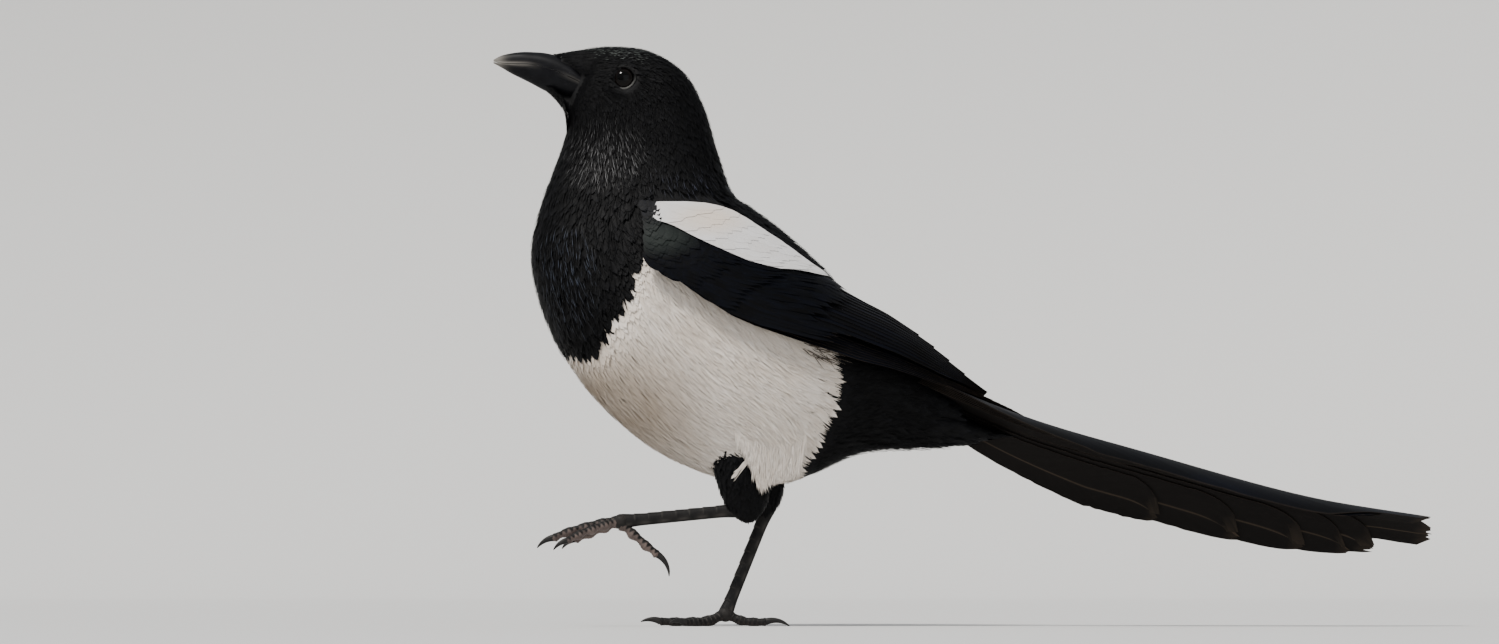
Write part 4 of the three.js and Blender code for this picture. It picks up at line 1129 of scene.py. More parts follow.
class MAGPIE_OT_filaments(bpy.types.Operator):
    """Fine feathers: silk, tufts, the white's rear fringe, pale shafts and painted glints, thigh aprons and
    bristles
    """

    bl_idname = "magpie.filaments"
    bl_label = "Fine feathers"

    def strands(self, rng, name, surface, spacing, s_range, finish, length, width, low, high, yaw, keep):
        """One piece of thin pointed feathers, even over a stretch of the body, where keep(root, tip) is true.

        White ones turn down towards the thigh.
        """
        s, a = scatter(surface, spacing, s_range, (-np.pi, np.pi), 160)
        count = len(s)
        jitter = [rng.normal(0, 0.5, count) for _ in range(2)]
        lengths = rng.uniform(*length, count)
        tips = rng.uniform(*high, count)
        turn = rng.normal(0, yaw, count)
        if finish == "white_plumage":
            turn = turn + droop(surface(s, a, 0 * s))
        point = lay(surface, s, a, lengths, rng.uniform(*width, count), low, tips, turn, jitter, t=STRAND_T,
                    shape=pointed, curl=rng.normal(0, 0.05, count), lift=0.6)
        chosen = keep(point[:, 0, 1], point[:, -1, 1])
        place = trunk_place(s, a)[chosen]
        slot = "white_plumage" if finish == "tuft_plumage" else finish
        make_piece(name, soft_batch(point[chosen], STRAND_T, COAT_U, place, rng), plumage(finish), slot)

    def execute(self, context):
        """Strands scattered on the body and swept along it."""
        rng = np.random.default_rng(23)
        white, black = "white_plumage", "black_plumage"

        def both_white(root, tip):
            return white_at(root) & white_at(tip)

        def belly(root, tip):
            return both_white(root, tip) & (border_distance(tip) > 2.5)

        def thigh(root, tip):
            return both_white(root, tip) & (border_distance(tip) > 2.0) & (root[:, 2] < 84.0)

        def breast(root, tip):
            return ~white_at(tip) & ~covered(root) & ~covered(tip)

        def vent(root, tip):
            return ~white_at(root) & ~white_at(tip)

        def head(root, tip):
            return (eye_distance(root) > EYE_CLEAR + 1.5) | (np.abs(root[:, 1]) < 8.0)

        def tuft(root, tip):
            up = (root[:, 2] - TUFT["z"]) * TUFT["flat"]
            return np.hypot(root[:, 0] - TUFT["x"], up) < TUFT["radius"]

        def fringe(root, tip):
            return both_white(root, tip) & (border_distance(tip) < 2.6) & (root[:, 0] > -84.0)

        # Name, surface, root spacing, sections, finish, lengths, widths, height of the root, heights of the
        # tip, disorder in radians and where they grow.
        pieces = (
            ("belly_silk", body, 1.5, (8.0, 15.2), white,
             (9, 15), (0.5, 1.1), -0.9, (-0.1, 0.4), 0.12, belly),
            ("thigh_tufts", body, 1.6, (13.0, 14.6), white,
             (9, 16), (0.7, 1.5), -1.0, (0.0, 1.1), 0.22, thigh),
            ("breast_silk", body, 2.0, (5.6, 11.8), black,
             (5, 8), (0.5, 1.0), -0.8, (-0.1, 0.35), 0.16, breast),
            ("vent_silk", body, 1.7, (13.2, 16.2), black,
             (5, 9), (0.5, 1.0), -0.8, (-0.1, 0.9), 0.2, vent),
            ("head_silk", face, 1.25, (0.6, 5.6), black,
             (3, 5.5), (0.3, 0.6), -0.4, (0.0, 0.3), 0.14, head),
            ("wing_tufts", body, 1.5, (12.0, 14.2), "tuft_plumage",
             (6, 10), (0.35, 0.8), -0.4, (0.2, 1.5), 0.3, tuft),
        )
        for name, *settings in pieces:
            self.strands(rng, "plumage_" + name, *settings)
        for name in SHAFTS_AND_GLINTS:
            self.shafts_and_glints(rng, name, **SHAFTS_AND_GLINTS[name])
        self.apron(rng)
        self.bristles(rng)
        self.strands(rng, "plumage_rear_fringe", body, 0.8, (11.5, 15.5), white, (6, 10), (0.6, 1.2), -0.9,
                     (-0.1, 0.3), 0.1, fringe)
        return {"FINISHED"}

    def shafts_and_glints(self, rng, name, spacing, s, degrees, length, width, centre, reach, fan, tint):
        """Short narrow shafts on both sides, palest in the middle of an ellipse on the side view.

        On the throat they are pale shafts; on the breast and nape painted glints, on the crown painted sheen.
        """
        rows, a = scatter(face, spacing, s, (-np.pi, np.pi), 200)
        root = face(rows, a, 0 * rows)
        ahead, up = (root[:, 0] - centre[0]) / reach[0], (root[:, 2] - centre[1]) / reach[1]
        glow = np.clip(1 - ahead**2 - up**2, 0, 1)
        angle = np.abs(np.degrees(a))
        within = (angle > degrees[0]) & (angle < degrees[1])
        chosen = within & (rng.random(len(rows)) < glow**0.6)
        rows, a, root, glow = rows[chosen], a[chosen], root[chosen], glow[chosen]
        count = len(rows)
        jitter = [rng.normal(0, 0.5 * spacing, count) for _ in range(2)]
        yaw = rng.normal(0, 0.12, count) - np.sign(root[:, 1]) * fan * (root[:, 0] - centre[0])
        point = lay(face, rows, a, rng.uniform(*length, count), rng.uniform(*width, count), -0.25,
                    rng.uniform(0.12, 0.4, count), yaw, jitter, t=STRAND_T, shape=pointed, lift=0.6)
        graph = Graph(name + "_shafts", Roughness=0.5, Specular_IOR_Level=0.2)
        _, along = graph.vane()
        # Pale towards the tips: pale shafts on the throat, painted glints on the breast and nape, painted
        # sheen on the crown.
        pale = graph.math("MULTIPLY", graph.remap(along, 0.1, 0.8), graph.value("glow"))
        graph.shade(Base_Color=graph.mix(pale, SHAFT_ROOT, tint))
        glow = glow * rng.random(count) ** 1.5
        data = soft_batch(point, STRAND_T, COAT_U, trunk_place(rows, a), rng, glow=glow)
        make_piece("plumage_" + name + "_shafts", data, graph.material, "black_plumage")

    def apron(self, rng):
        """White feathers of each flank that hang over the thigh in pointed lobes."""
        for side, mirror in SIDES.items():
            parts = merged([self.hanging(rng, **HANGING[key]) for key in HANGING])
            make_piece("plumage_apron_" + side, parts, plumage("white_plumage"), "white_plumage",
                       mirror=mirror)

    def hanging(self, rng, corners, count, reach):
        """Feathers on the sheet between four corners, straight both ways, which end at its reach."""
        front_top, rear_top, front_low, rear_low = np.array(corners)

        def sheet(down, share, out=0.0):
            down, share = np.asarray(down)[..., None], np.asarray(share)[..., None]
            point = lerp(lerp(front_top, rear_top, share), lerp(front_low, rear_low, share), down)
            return point + np.asarray(out + 0 * down[..., 0])[..., None] * np.array([0.0, -1.0, 0.0])

        share, down = rng.random((2, count))
        end = table_at(reach, share)[0]
        down = down * np.maximum(end - 0.18, 0.05)
        span = np.linalg.norm(front_low - front_top)
        length = (end - down) * span * rng.uniform(0.6, 1.0, count) + 1.0
        point = lay(sheet, down, share, np.minimum(length, 14.0), rng.uniform(0.8, 2.0, count),
                    rng.uniform(-1.4, -0.4, count), rng.uniform(-0.4, 0.7, count), rng.normal(0, 0.12, count),
                    t=STRAND_T, shape=pointed, curl=rng.normal(0, 0.05, count), lift=0.7)
        place = np.stack([0.78 + 0.08 * down, 0.2 + 0.1 * share], -1)
        return soft_batch(point, STRAND_T, COAT_U, place, rng)

    def bristles(self, rng):
        """Bristles on a cone of ellipses round the bill's base, which lie forward over the nostrils."""

        def muzzle(t, a, out=0.0):
            x = -158.0 - t
            culmen, _, low, half = table_at(BILL, x)
            crown = np.where(x > -172.0, 240.9 + 0.21 * (x + 169.7), culmen)
            high = (np.maximum(culmen, crown) - low) / 2 + out
            wide = half + out + 3.0 * smooth(x, -165.0, -157.0)
            return np.stack([x, -wide * np.sin(a), low + high + high * np.cos(a) - out], -1)

        def chin(t, share, out=0.0):
            here = curve_at(CHIN, t)
            turn = share * math.radians(62)
            half = here[..., 2]
            drop = (0.8 * half + out) * (1 - np.cos(turn))
            z = here[..., 1] + drop - out
            return np.stack([here[..., 0] - 0.35 * out, -(half + out) * np.sin(turn), z], -1)

        count = 900
        degrees = rng.uniform(-92, 92, count)
        reach = rng.uniform(5.0, 9.0, count)
        tip = 16.5 - 13.0 * (np.abs(degrees) / 95) ** 1.6
        root = tip - reach - np.abs(rng.normal(0, 3.0, count))
        nose = lay(muzzle, root, np.radians(degrees), reach, rng.uniform(0.45, 0.95, count), 0.1,
                   rng.uniform(0.15, 0.7, count), rng.normal(0, 0.1, count),
                   t=STRAND_T, shape=pointed, lift=0.6)
        t, share = rng.uniform(0.0, 3.6, count), rng.uniform(-1, 1, count)
        under = lay(chin, t, share, rng.uniform(3.0, 6.0, count), rng.uniform(0.45, 0.9, count), -0.9,
                    rng.uniform(-0.2, 0.7, count) * np.minimum(1, 0.3 + t / 2), rng.normal(0, 0.2, count),
                    t=STRAND_T, shape=pointed, lift=0.6)
        place = [np.stack([0.02 + 0.0005 * root, np.radians(degrees) % (2 * np.pi) / (2 * np.pi)], -1),
                 np.stack([0.05 + 0.01 * t, 0.04 + 0.02 * share], -1)]
        data = soft_batch(np.concatenate([nose, under]), STRAND_T, COAT_U, np.concatenate(place), rng)
        black_piece("plumage_bristles", data)


class MAGPIE_OT_bill(bpy.types.Operator):
    """Upper and lower bill with pale tip and cutting edges"""

    bl_idname = "magpie.bill"
    bl_label = "Bill"

    def execute(self, context):
        """Half sections of width times cosine and height times a power of sine, rounded at the lip."""
        rows, sides = 90, 40
        t = np.linspace(0, len(BILL) - 1, rows)
        x, culmen, mouth, low, half = (column[:, None] for column in curve_at(BILL, t).T)
        a = around(sides)
        arch = np.clip(np.sin(a), 0, None) ** 0.85
        palate = np.clip(-np.sin(a), 0, None) ** 0.8
        material = horn_material("bill_horn", 0.4)
        for name, sign, edge in (("upper", 1.0, culmen), ("lower", -1.0, low)):
            lip = mouth + sign * MOUTH_GAP / 2
            height = np.abs(edge - lip)
            y = half * np.cos(a) * (1 - 0.05 * palate)
            z = lip + sign * (height * arch + 0.12 * height * palate)
            tip = np.exp(-(((x - BILL[0][0]) / 4.2) ** 2))
            rim = np.exp(-((np.sin(a) / 0.10) ** 2)) * smooth(-x, 177.0, 192.0) * 0.55
            base = 0.12 * np.exp(-((np.sin(a) / 0.06) ** 2)) * smooth(x, -174.0, -164.0)
            pale = np.clip(0.7 * tip + rim + base, 0, 1)
            data = ring_batch(np.stack([x + 0 * a, y, z], -1), pale=pale)
            make_piece("bill_" + name + "_horn", data, material, "bill_horn", ("bill_" + name,), bake=False)
        return {"FINISHED"}


def eye_place(local, side):
    """Turns points whose way out is -Y to the eye's own direction and moves them to its place."""
    tilt, turn = math.radians(-EYE["tilt"]), math.radians(EYE["turn"])
    x, y, z = local[..., 0], local[..., 1], local[..., 2]
    y, z = y * math.cos(tilt) - z * math.sin(tilt), y * math.sin(tilt) + z * math.cos(tilt)
    x, y = x * math.cos(turn) - y * math.sin(turn), x * math.sin(turn) + y * math.cos(turn)
    return np.stack([x + EYE["x"], (y - EYE["y"]) * side, z + EYE["z"]], -1)


class MAGPIE_OT_eyes(bpy.types.Operator):
    """Eyes with iris and pupil, and beaded lids round them"""

    bl_idname = "magpie.eyes"
    bl_label = "Eyes"

    def execute(self, context):
        """A flattened ball by the angle from its way out, and two half rings that narrow to the corners."""
        rows, sides = 40, 48
        phi = np.linspace(0.04, np.pi - 0.04, rows)[:, None]
        psi = around(sides)
        r = EYE["radius"]
        ball = np.stack([r * np.sin(phi) * np.cos(psi), -r * EYE["flat"] * np.cos(phi) + 0 * psi,
                         r * np.sin(phi) * np.sin(psi)], -1)
        poles = np.array([[0.0, -r * EYE["flat"], 0.0], [0.0, r * EYE["flat"], 0.0]])
        gaze = np.degrees(phi) + 0 * psi
        steps, thin = 96, 12
        turn = np.linspace(0, 2 * np.pi, steps, endpoint=False)[:, None]
        small = around(thin)
        bead = LID["thick"] * (1 + 0.14 * np.cos(turn * 34)) * (0.8 + 0.35 * np.abs(np.sin(turn)))
        reach = LID["radius"] + bead * np.cos(small)
        corner = 1 + 0.09 * np.exp(-((np.abs(np.cos(turn)) - 1) / 0.06) ** 2)
        ring = np.stack([reach * np.cos(turn) * corner, -LID["out"] - bead * np.sin(small),
                         reach * np.sin(turn)], -1)
        index = np.arange(steps * thin).reshape(steps, thin)
        ahead, beside = np.roll(index, -1, 0), np.roll(index, -1, 1)
        quads = np.stack([index, ahead, np.roll(ahead, -1, 1), beside], -1).reshape(-1, 4)
        glass, skin = eye_material("eye_glass"), lid_material("eye_lid")
        for side, sign in SIDES.items():
            data = ring_batch(eye_place(ball, sign), eye_place(poles, sign), gaze=gaze)
            make_piece("eye_" + side + "_ball", data, glass, "eye", ("eye_" + side,), bake=False)
            low = 0.04 + 0.96 * smooth(-np.sin(turn), -0.2, 0.8) + 0 * small
            uv = np.stack(np.broadcast_arrays(turn, small), -1).reshape(1, -1, 2) / (2 * np.pi)
            lid = batch(eye_place(ring, sign).reshape(1, -1, 3), (quads, NO_TRIANGLES), uv, uv,
                        pale=low.reshape(1, -1))
            make_piece("eye_" + side + "_lid", lid, skin, "black_plumage", bake=False, sharp=80.0)
        return {"FINISHED"}


def wing_edges(b):
    """The white patch's upper and lower edge at a wing section, as shares of the way to the wing's edge."""
    top, low = table_at(PATCH, b)
    full = curve_at(WING, b)[..., 5]
    return top / full, low / full


def wing_flight(rng, start, end, upper, lower, spread, root, height, rise, thick, worn, cell):
    """Long feathers of the left wing from section start to end; upper and lower give the shares between."""
    t = np.linspace(0, 1, 26) ** 0.9
    t3, u3 = t[None, :, None], FLIGHT_U[None, None, :]
    count = len(end)
    k = (np.arange(count) / max(count - 1, 1))[:, None, None]
    b = lerp(start, end[:, None, None], t3) + 0 * u3
    half = spread * vane_width(t3, 0.82, root)
    ragged = rng.normal(0, 0.012, (count, len(t), 1)) * np.abs(u3) ** 6
    share = lerp(upper(t3), lower(t3), k) + half * (u3 + ragged)
    ridge = 0.16 * np.exp(-(((u3 - SHAFT) / 0.05) ** 2)) * (1.1 - t3)
    crown = 0.32 * (1 - (u3 - SHAFT) ** 2)
    level = height(b) + rise * u3 + ridge + crown - 0.15 + 0 * k
    return solid_batch(wing, b, share, level, thick, t, FLIGHT_U, cell, rng, worn=worn)


def wing_rank(rng, start, length, count, edge, rise, low, high=0.0, worn=0.0):
    """One rank of small feathers on the left wing, from the patch or the ridge down to the wing's edge."""
    t, u = COVERT_T[None, :, None], COVERT_U[None, None, :]
    k = ((np.arange(count) + rng.normal(0, 0.08, count)) / (count - 1))[:, None, None]
    ends = rng.normal(1.0, 0.05, count)[:, None, None]
    b = start + length * ends * t * (1 - 0.04 * u**2)
    top = edge(b)
    spread = 0.7 * (WING_LOW - top) / count * 1.5
    half = spread * vane_width(t, 0.72, 0.7)
    share = lerp(top + 0.3 * spread, WING_LOW - 0.5 * spread, k) + half * u
    level = lerp(low, high, t**0.8) + rise * u - 0.12 * u**2 + 0 * k
    point = wing(b + 0 * share, share + 0 * b, level + 0 * share)
    place = np.stack([np.full(count, start / 13), k[:, 0, 0] * 0.96 + 0.02], -1)
    return soft_batch(point, COVERT_T, COVERT_U, place, rng, worn=np.full(count, worn))


class MAGPIE_OT_wings(bpy.types.Operator):
    """Folded wings: a core, coverts, secondaries, primaries and the white shoulder feathers"""

    bl_idname = "magpie.wings"
    bl_label = "Wings"

    def execute(self, context):
        """Every feather is a strip of the wing's outer face at its own height; the other wing mirrors it."""
        thick = context.scene.magpie_sizes.thick / MM
        for side, mirror in SIDES.items():
            rng = np.random.default_rng(31)
            name = "wing_" + side + "_"
            self.core(name, mirror)
            self.coverts(name, mirror, rng)
            self.secondaries(name, mirror, rng, thick)
            self.primaries(name, mirror, rng, thick)
            self.shoulder(name, mirror, rng)
        return {"FINISHED"}

    def core(self, name, mirror):
        """The arm and the folded vanes under it: a flattened tube that thins to the wing's tip."""
        b = np.linspace(0.5, 10.6, 110)[:, None]
        turn = around(40)
        top = np.minimum(wing_edges(b)[0] + 0.03, np.where(b > 4.8, 0.24, 1.0))
        share = lerp(top, 0.95, 0.5 - 0.5 * np.cos(turn))
        depth, thick = table_at(WING_CORE, b)
        level = depth + thick * np.sin(turn)
        data = ring_batch(wing(b + 0 * turn, share, level), tone=0.5, under=0.0)
        black_piece(name + "arm", data, mirror=mirror, bake=False)

    def coverts(self, name, mirror, rng):
        """Small feathers scattered on the shoulder, then ranks that grow towards the flight feathers."""

        def edge(b):
            return wing_edges(b)[1] + 0.03

        def rear_edge(b):
            return 0.84 + 0 * b

        def spacing(b, share, point):
            top = np.maximum(wing_edges(b)[1], wing_edges(b + 0.6)[1]) - 0.01
            return np.where((share < top) | (share > WING_LOW), BARE, 1.2 + 0.6 * b)

        b, share = scatter(wing, spacing, (0.35, 2.35), (0.2, 1.0), 160)
        count = len(b)
        size = 4.5 + 3.0 * b
        jitter = [rng.normal(0, 0.4, count) for _ in range(2)]
        point = lay(wing, b, share, size * rng.uniform(0.85, 1.15, count), 0.6 * size, -1.2,
                    rng.normal(-0.15, 0.06, count), rng.normal(0, 0.1, count), jitter, t=COVERT_T, u=COVERT_U,
                    camber=0.03, lift=0.75)
        place = np.stack([b / 13, np.clip(share, 0, 1)], -1)
        lesser = soft_batch(point, COVERT_T, COVERT_U, place, rng, worn=np.zeros(count))
        make_piece(name + "lesser_coverts", lesser, plumage("shoulder_plumage"), "flight_plumage",
                   mirror=mirror)
        ranks = [
            wing_rank(rng, 1.6, 1.5, 13, edge, rise=0.12, low=-1.1),
            wing_rank(rng, 2.1, 1.8, 14, edge, rise=0.12, low=-1.0),
            wing_rank(rng, 2.6, 2.9, 16, edge, rise=0.14, low=-1.2, high=-0.05, worn=0.03),
            wing_rank(rng, 2.6, 3.4, 5, rear_edge, rise=0.2, low=-1.2, high=0.2, worn=0.3),
        ]
        make_piece(name + "greater_coverts", merged(ranks), plumage("wing_plumage"), "flight_plumage",
                   (name + "coverts",), mirror)

    def secondaries(self, name, mirror, rng, thick):
        """Thirteen feathers; the first four are the short inner ones on top."""
        inner = 8.2 + 0.62 * np.arange(4)
        outer = 10.95 - 0.03 * np.arange(9)

        def upper(t):
            return lerp(0.34, 0.12, np.minimum(1, 1.6 * t))

        def lower(t):
            return lerp(0.76, 0.74, np.minimum(1, 1.6 * t))

        def height(b):
            return lerp(-2.7, -1.3, np.clip((b - 4) / 3, 0, 1))

        worn = rng.uniform(0.0, 0.2, 13)
        reach = np.concatenate([inner, outer])
        data = wing_flight(rng, 3.4, reach, upper, lower, 0.08, 0.6, height, 0.8, thick, worn, (4, 4))
        make_piece(name + "secondary_vanes", data, plumage("wing_plumage"), "flight_plumage",
                   (name + "secondaries",), mirror)

    def primaries(self, name, mirror, rng, thick):
        """Seven folded feathers along the wing's lower edge, the lowest the longest."""
        reach = lerp(10.9, 12.4, (np.arange(7) / 6) ** 0.8)

        def upper(t):
            return 0.79 + 0 * t

        def lower(t):
            return 0.965 + 0 * t

        def height(b):
            return lerp(-4.95, -1.4, np.clip((b - 5) / 7, 0, 1) ** 1.2)

        worn = rng.uniform(0.4, 0.9, 7)
        data = wing_flight(rng, 3.5, reach, upper, lower, 0.055, 0.45, height, 0.9, thick, worn, (3, 3))
        make_piece(name + "primary_vanes", data, plumage("wing_plumage"), "flight_plumage",
                   (name + "primaries",), mirror)

    def shoulder(self, name, mirror, rng):
        """White feathers in ranks across the patch, all within its two edges."""
        batches = []
        # Section where a rank starts, its feathers' length in sections, and their number.
        ranks = ((0.57, 0.8, 4), (0.72, 1.1, 5), (1.0, 1.3, 6), (1.4, 1.4, 6), (1.85, 1.45, 6), (2.3, 1.5, 6),
                 (2.75, 1.5, 5), (3.15, 1.45, 4), (3.45, 1.3, 3))
        t, u = COVERT_T[None, :, None], COVERT_U[None, None, :]
        for start, length, count in ranks:
            k = ((np.arange(count) + 0.5) / count)[:, None, None]
            ends = rng.normal(1.0, 0.04, count)[:, None, None]
            b = np.minimum(start + length * ends * t * (1 - 0.05 * u**2), 4.8)
            top, low = wing_edges(b)
            spread = 1.25 * (low - top) / count
            half = spread * vane_width(t, 0.66, 1.0)
            share = np.clip(lerp(top, low, k) + half * u, top - 0.012, low + 0.012)
            level = lerp(-0.5, 0.0, t**0.75) + 0.03 * u - 0.03 * u**2 + 0 * k
            point = wing(b + 0 * share, share, level + 0 * share)
            place = np.stack([np.full(count, start / 13), k[:, 0, 0]], -1)
            batches.append(soft_batch(point, COVERT_T, COVERT_U, place, rng))
        make_piece(name + "shoulder_feathers", merged(batches), plumage("scapular_plumage"), "white_plumage",
                   (name + "scapulars",), mirror)


class MAGPIE_OT_tail(bpy.types.Operator):
    """Twelve graduated tail feathers and the black coverts under their roots"""

    bl_idname = "magpie.tail"
    bl_label = "Tail"

    def execute(self, context):
        """Each feather is a strip of the tail's arch at its own layer, the middle pair on top."""
        rng = np.random.default_rng(47)
        t = np.linspace(0, 1, 44) ** 0.85
        t3, u3 = t[None, :, None], FLIGHT_U[None, None, :]
        batches = []
        thick = context.scene.magpie_sizes.thick / MM
        for i in range(TAIL["pairs"]):
            for side, mark in (("left", -1), ("right", 1)):
                reach = TAIL_REACH[side][i]
                notch = rng.uniform(0.0, 0.03, len(FLIGHT_U))[None, None, :] * t3**8
                notch = notch * (0.4 if i == 0 else 1.0)
                share = reach * lerp(TAIL["root"], 1, t3) * (1 - notch)
                fan = np.minimum(1, share / TAIL_FAN) ** 0.8
                slim = 1 - (0.32 if i == 0 else 0.0) * smooth(share, 0.76, 0.9)
                inner, outer = (first + step * i for first, step in TAIL_EDGES[side])
                centre = lerp(4.9 + 0.3 * i, (inner + outer) / 2, fan) * slim
                half = (outer - inner) / 2 * lerp(0.4, 1, fan) * slim
                taper = vane_width(t3, 0.97, 1) ** 0.4 if i == 0 else vane_width(t3, 0.88, 1)
                skew = 0.75 if side == "right" and i > 0 else 0.0
                ragged = 1 + rng.normal(0, 0.012, (1, len(t), 1)) * np.abs(u3) ** 6
                lateral = mark * (centre + half * (u3 * taper * ragged + skew * (1 - taper)))
                ridge = 0.1 * np.exp(-(((u3 - SHAFT) / 0.05) ** 2)) * (1.1 - t3)
                under = -TAIL["layer"] * (2 * i + (side == "left")) - 0.3
                layer = under + 0.08 * (1 - u3**2) + ridge + 0 * t3
                batches.append(solid_batch(tail, share, lateral, layer, thick, t, FLIGHT_U, (1, 1), rng,
                                           worn=np.array([0.35])))
        for number, data in enumerate(batches):
            data["bake"] = (data["bake"] + [number % 4, number // 4]) / [4, 3]
        make_piece("tail_vanes", merged(batches), plumage("wing_plumage"), "flight_plumage", ("tail",))
        self.coverts(rng)
        return {"FINISHED"}

    def coverts(self, rng):
        """A closed wedge under the tail's root, with black feathers that lie back along it."""
        s, a = np.meshgrid(np.linspace(0.0, len(UNDERTAIL) - 1, 60), around(40) - np.pi, indexing="ij")
        core = ring_batch(undertail(s, a, -1.0), tone=0.5, under=0.0)
        black_piece("undertail_core", core, bake=False)
        s, a = scatter(undertail, 2.4, (0.0, 3.5), (-np.pi, np.pi), 120)
        count = len(s)
        point = lay(undertail, s, a, rng.uniform(9, 13, count), rng.uniform(4, 5.5, count), -1.2,
                    rng.normal(-0.1, 0.2, count), rng.normal(0, 0.12, count), lift=0.7)
        place = np.stack([s / 5, (a + np.pi) / (2 * np.pi)], -1)
        black_piece("plumage_undertail", soft_batch(point, COAT_T, COAT_U, place, rng))


class MAGPIE_OT_legs(bpy.types.Operator):
    """Feathered thighs, scaly shanks, toes with plates and pads, and claws"""

    bl_idname = "magpie.legs"
    bl_label = "Legs and feet"

    def execute(self, context):
        """Tubes with elliptic sections along each bone."""
        skin = leg_material("leg_scales")
        horn = horn_material("claw_horn", 0.3)
        for side, leg in LEGS.items():
            rng = np.random.default_rng(59)
            self.thigh(side, leg, rng)
            self.shank(side, leg, skin)
            for digit in range(len(TOES)):
                self.toe(side, digit, skin)
                self.claw(side, digit, horn)
        return {"FINISHED"}

    def thigh(self, side, leg, rng):
        """Trousers: a core, and black feathers that hang down over the heel."""
        x, y, z = leg["heel"]
        offset, lean, spread = leg["lean"]
        rows = [[x + offset + lean * up, lerp(y, y * spread, up / 20), z + up, across, deep]
                for up, across, deep in TROUSERS]
        surface = tube(rows, SIDEWAYS)
        last = len(TROUSERS) - 1
        t, a = np.meshgrid(np.linspace(0, last, 50), around(36), indexing="ij")
        core = ring_batch(surface(t, a, -0.8), tone=0.5, under=0.0)
        name = "trousers_" + side
        black_piece(name + "_core", core, replaces=(name,), bake=False)
        s, a = scatter(surface, 1.25, (0.0, last - 0.5), (0.0, 2 * np.pi), 120)
        count = len(s)
        lengths = rng.uniform(5, 8.5, count) * np.clip((last + 0.3 - s) / 2.0, 0.25, 1.0)
        point = lay(surface, s, a, lengths, rng.uniform(1.5, 2.6, count), -1.0,
                    rng.uniform(-0.3, 0.7, count), rng.normal(0, 0.2, count), lift=0.7)
        place = np.stack([s / (last + 1), a / (2 * np.pi)], -1)
        black_piece("plumage_" + name, soft_batch(point, COAT_T, COAT_U, place, rng))

    def shank(self, side, leg, skin):
        """Shank: wide at both ends, with overlapping plates down its front and a hub at the toes."""
        heel, foot = np.array(leg["heel"]), np.array(leg["foot"])
        t = np.linspace(0.0, 1.0, 150)
        ends = 1 + 0.35 * np.exp(-((t / 0.12) ** 2)) + 0.2 * np.exp(-(((1 - t) / 0.1) ** 2))
        rows = np.column_stack([lerp(heel, foot, t[:, None]), SHANK["width"] * ends, SHANK["depth"] * ends])
        a = around(28)
        wave = (t[:, None] * (SHANK["scutes"] + 1)) % 1.0
        front = smooth(np.sin(a), -0.35, 0.2)
        plate = 0.26 * (wave - 0.5) * front - 0.12 * (1 - front) * np.cos(a * 2) ** 2
        surface = tube(rows, SIDEWAYS)
        number = np.arange(len(t), dtype=float)[:, None] + 0 * a
        fade = 0.4 + 0.35 * np.sin(t[:, None] * 41)
        streak = np.exp(-(((np.cos(a) + 0.82) / 0.12) ** 2)) * (np.sin(a) < 0.1) * fade
        joint = np.maximum(0.35 * smooth(wave, 0.86, 0.98) * front, np.clip(streak, 0, 1))
        shaft = ring_batch(surface(number, a + 0 * number, plate), joint=joint, sole=0.0)
        phi = np.linspace(0.05, np.pi - 0.05, 24)[:, None]
        ball = np.stack([np.sin(phi) * np.cos(a), np.sin(phi) * np.sin(a), np.cos(phi) + 0 * a], -1)
        ball = SHANK["hub"] * ball
        hub = ring_batch(ball * 0.98 + foot, joint=0.2, sole=0.0)
        hub["points"][:, 2] = np.maximum(hub["points"][:, 2], 0.05)
        name = "shank_" + side
        make_piece(name + "_scales", merged([shaft, hub]), skin, "leg_skin", (name,), bake=False)

    def heading(self, side, digit):
        """The way a toe points on the floor, and the way across it."""
        angle = math.radians(TOES[digit][side] * -SIDES[side])
        sin, cos = math.sin(angle), math.cos(angle)
        return np.array([-cos, -sin, 0.0]), np.array([-sin, cos, 0.0])

    def path(self, side, digit, t):
        """The middle line of a toe."""
        along, up = np.moveaxis(curve_at(TOE_PATHS[side][digit], t), -1, 0)
        forward, _ = self.heading(side, digit)
        centre = np.array(LEGS[side]["foot"]) + along[..., None] * forward
        centre[..., 2] += up
        return centre

    def toe(self, side, digit, skin):
        """A toe: plates on top, a pad under each joint, and flat where it rests on the floor."""
        bones = len(TOE_PATHS[side][digit]) - 1
        t = np.linspace(0, bones, 110)
        radius = TOES[digit]["radius"] * lerp(1, 0.8, t / bones)
        rows = np.column_stack([self.path(side, digit, t), radius, radius])
        _, across = self.heading(side, digit)
        surface = tube(rows, across)
        a = around(26)
        number = np.arange(len(t), dtype=float)[:, None] + 0 * a
        t = t[:, None]
        top = smooth(np.sin(a), -0.1, 0.35)
        wave = (t * 3.0) % 1.0
        swell = 0.26 if side == "left" else 0.1
        pads = (0.1 * top + swell * (1 - top)) * np.cos(2 * np.pi * t) * radius[:, None]
        plate = 0.17 * (wave - 0.5) * top
        below = (1 - top) * (0.05 * np.cos(12 * np.pi * t) - 0.05)
        end = -radius[:, None] * 0.5 * smooth(t / bones, 0.94, 1.0) ** 2
        grid = surface(number, a + 0 * number, pads + plate + below + end)
        grid[..., 2] = np.maximum(grid[..., 2], 0.0)
        joint = smooth(wave, 0.84, 0.98) * top
        low, high, most = (-0.1, 0.5, 0.9) if side == "left" else (-0.55, -0.1, 0.12)
        sole = (1 - smooth(np.sin(a) + 0.35 * np.sin(6 * np.pi * t), low, high)) * most
        name = "toe_" + side + "_" + str(digit + 1)
        data = ring_batch(grid, joint=joint, sole=sole)
        make_piece(name + "_scales", data, skin, "leg_skin", (name,), bake=False)

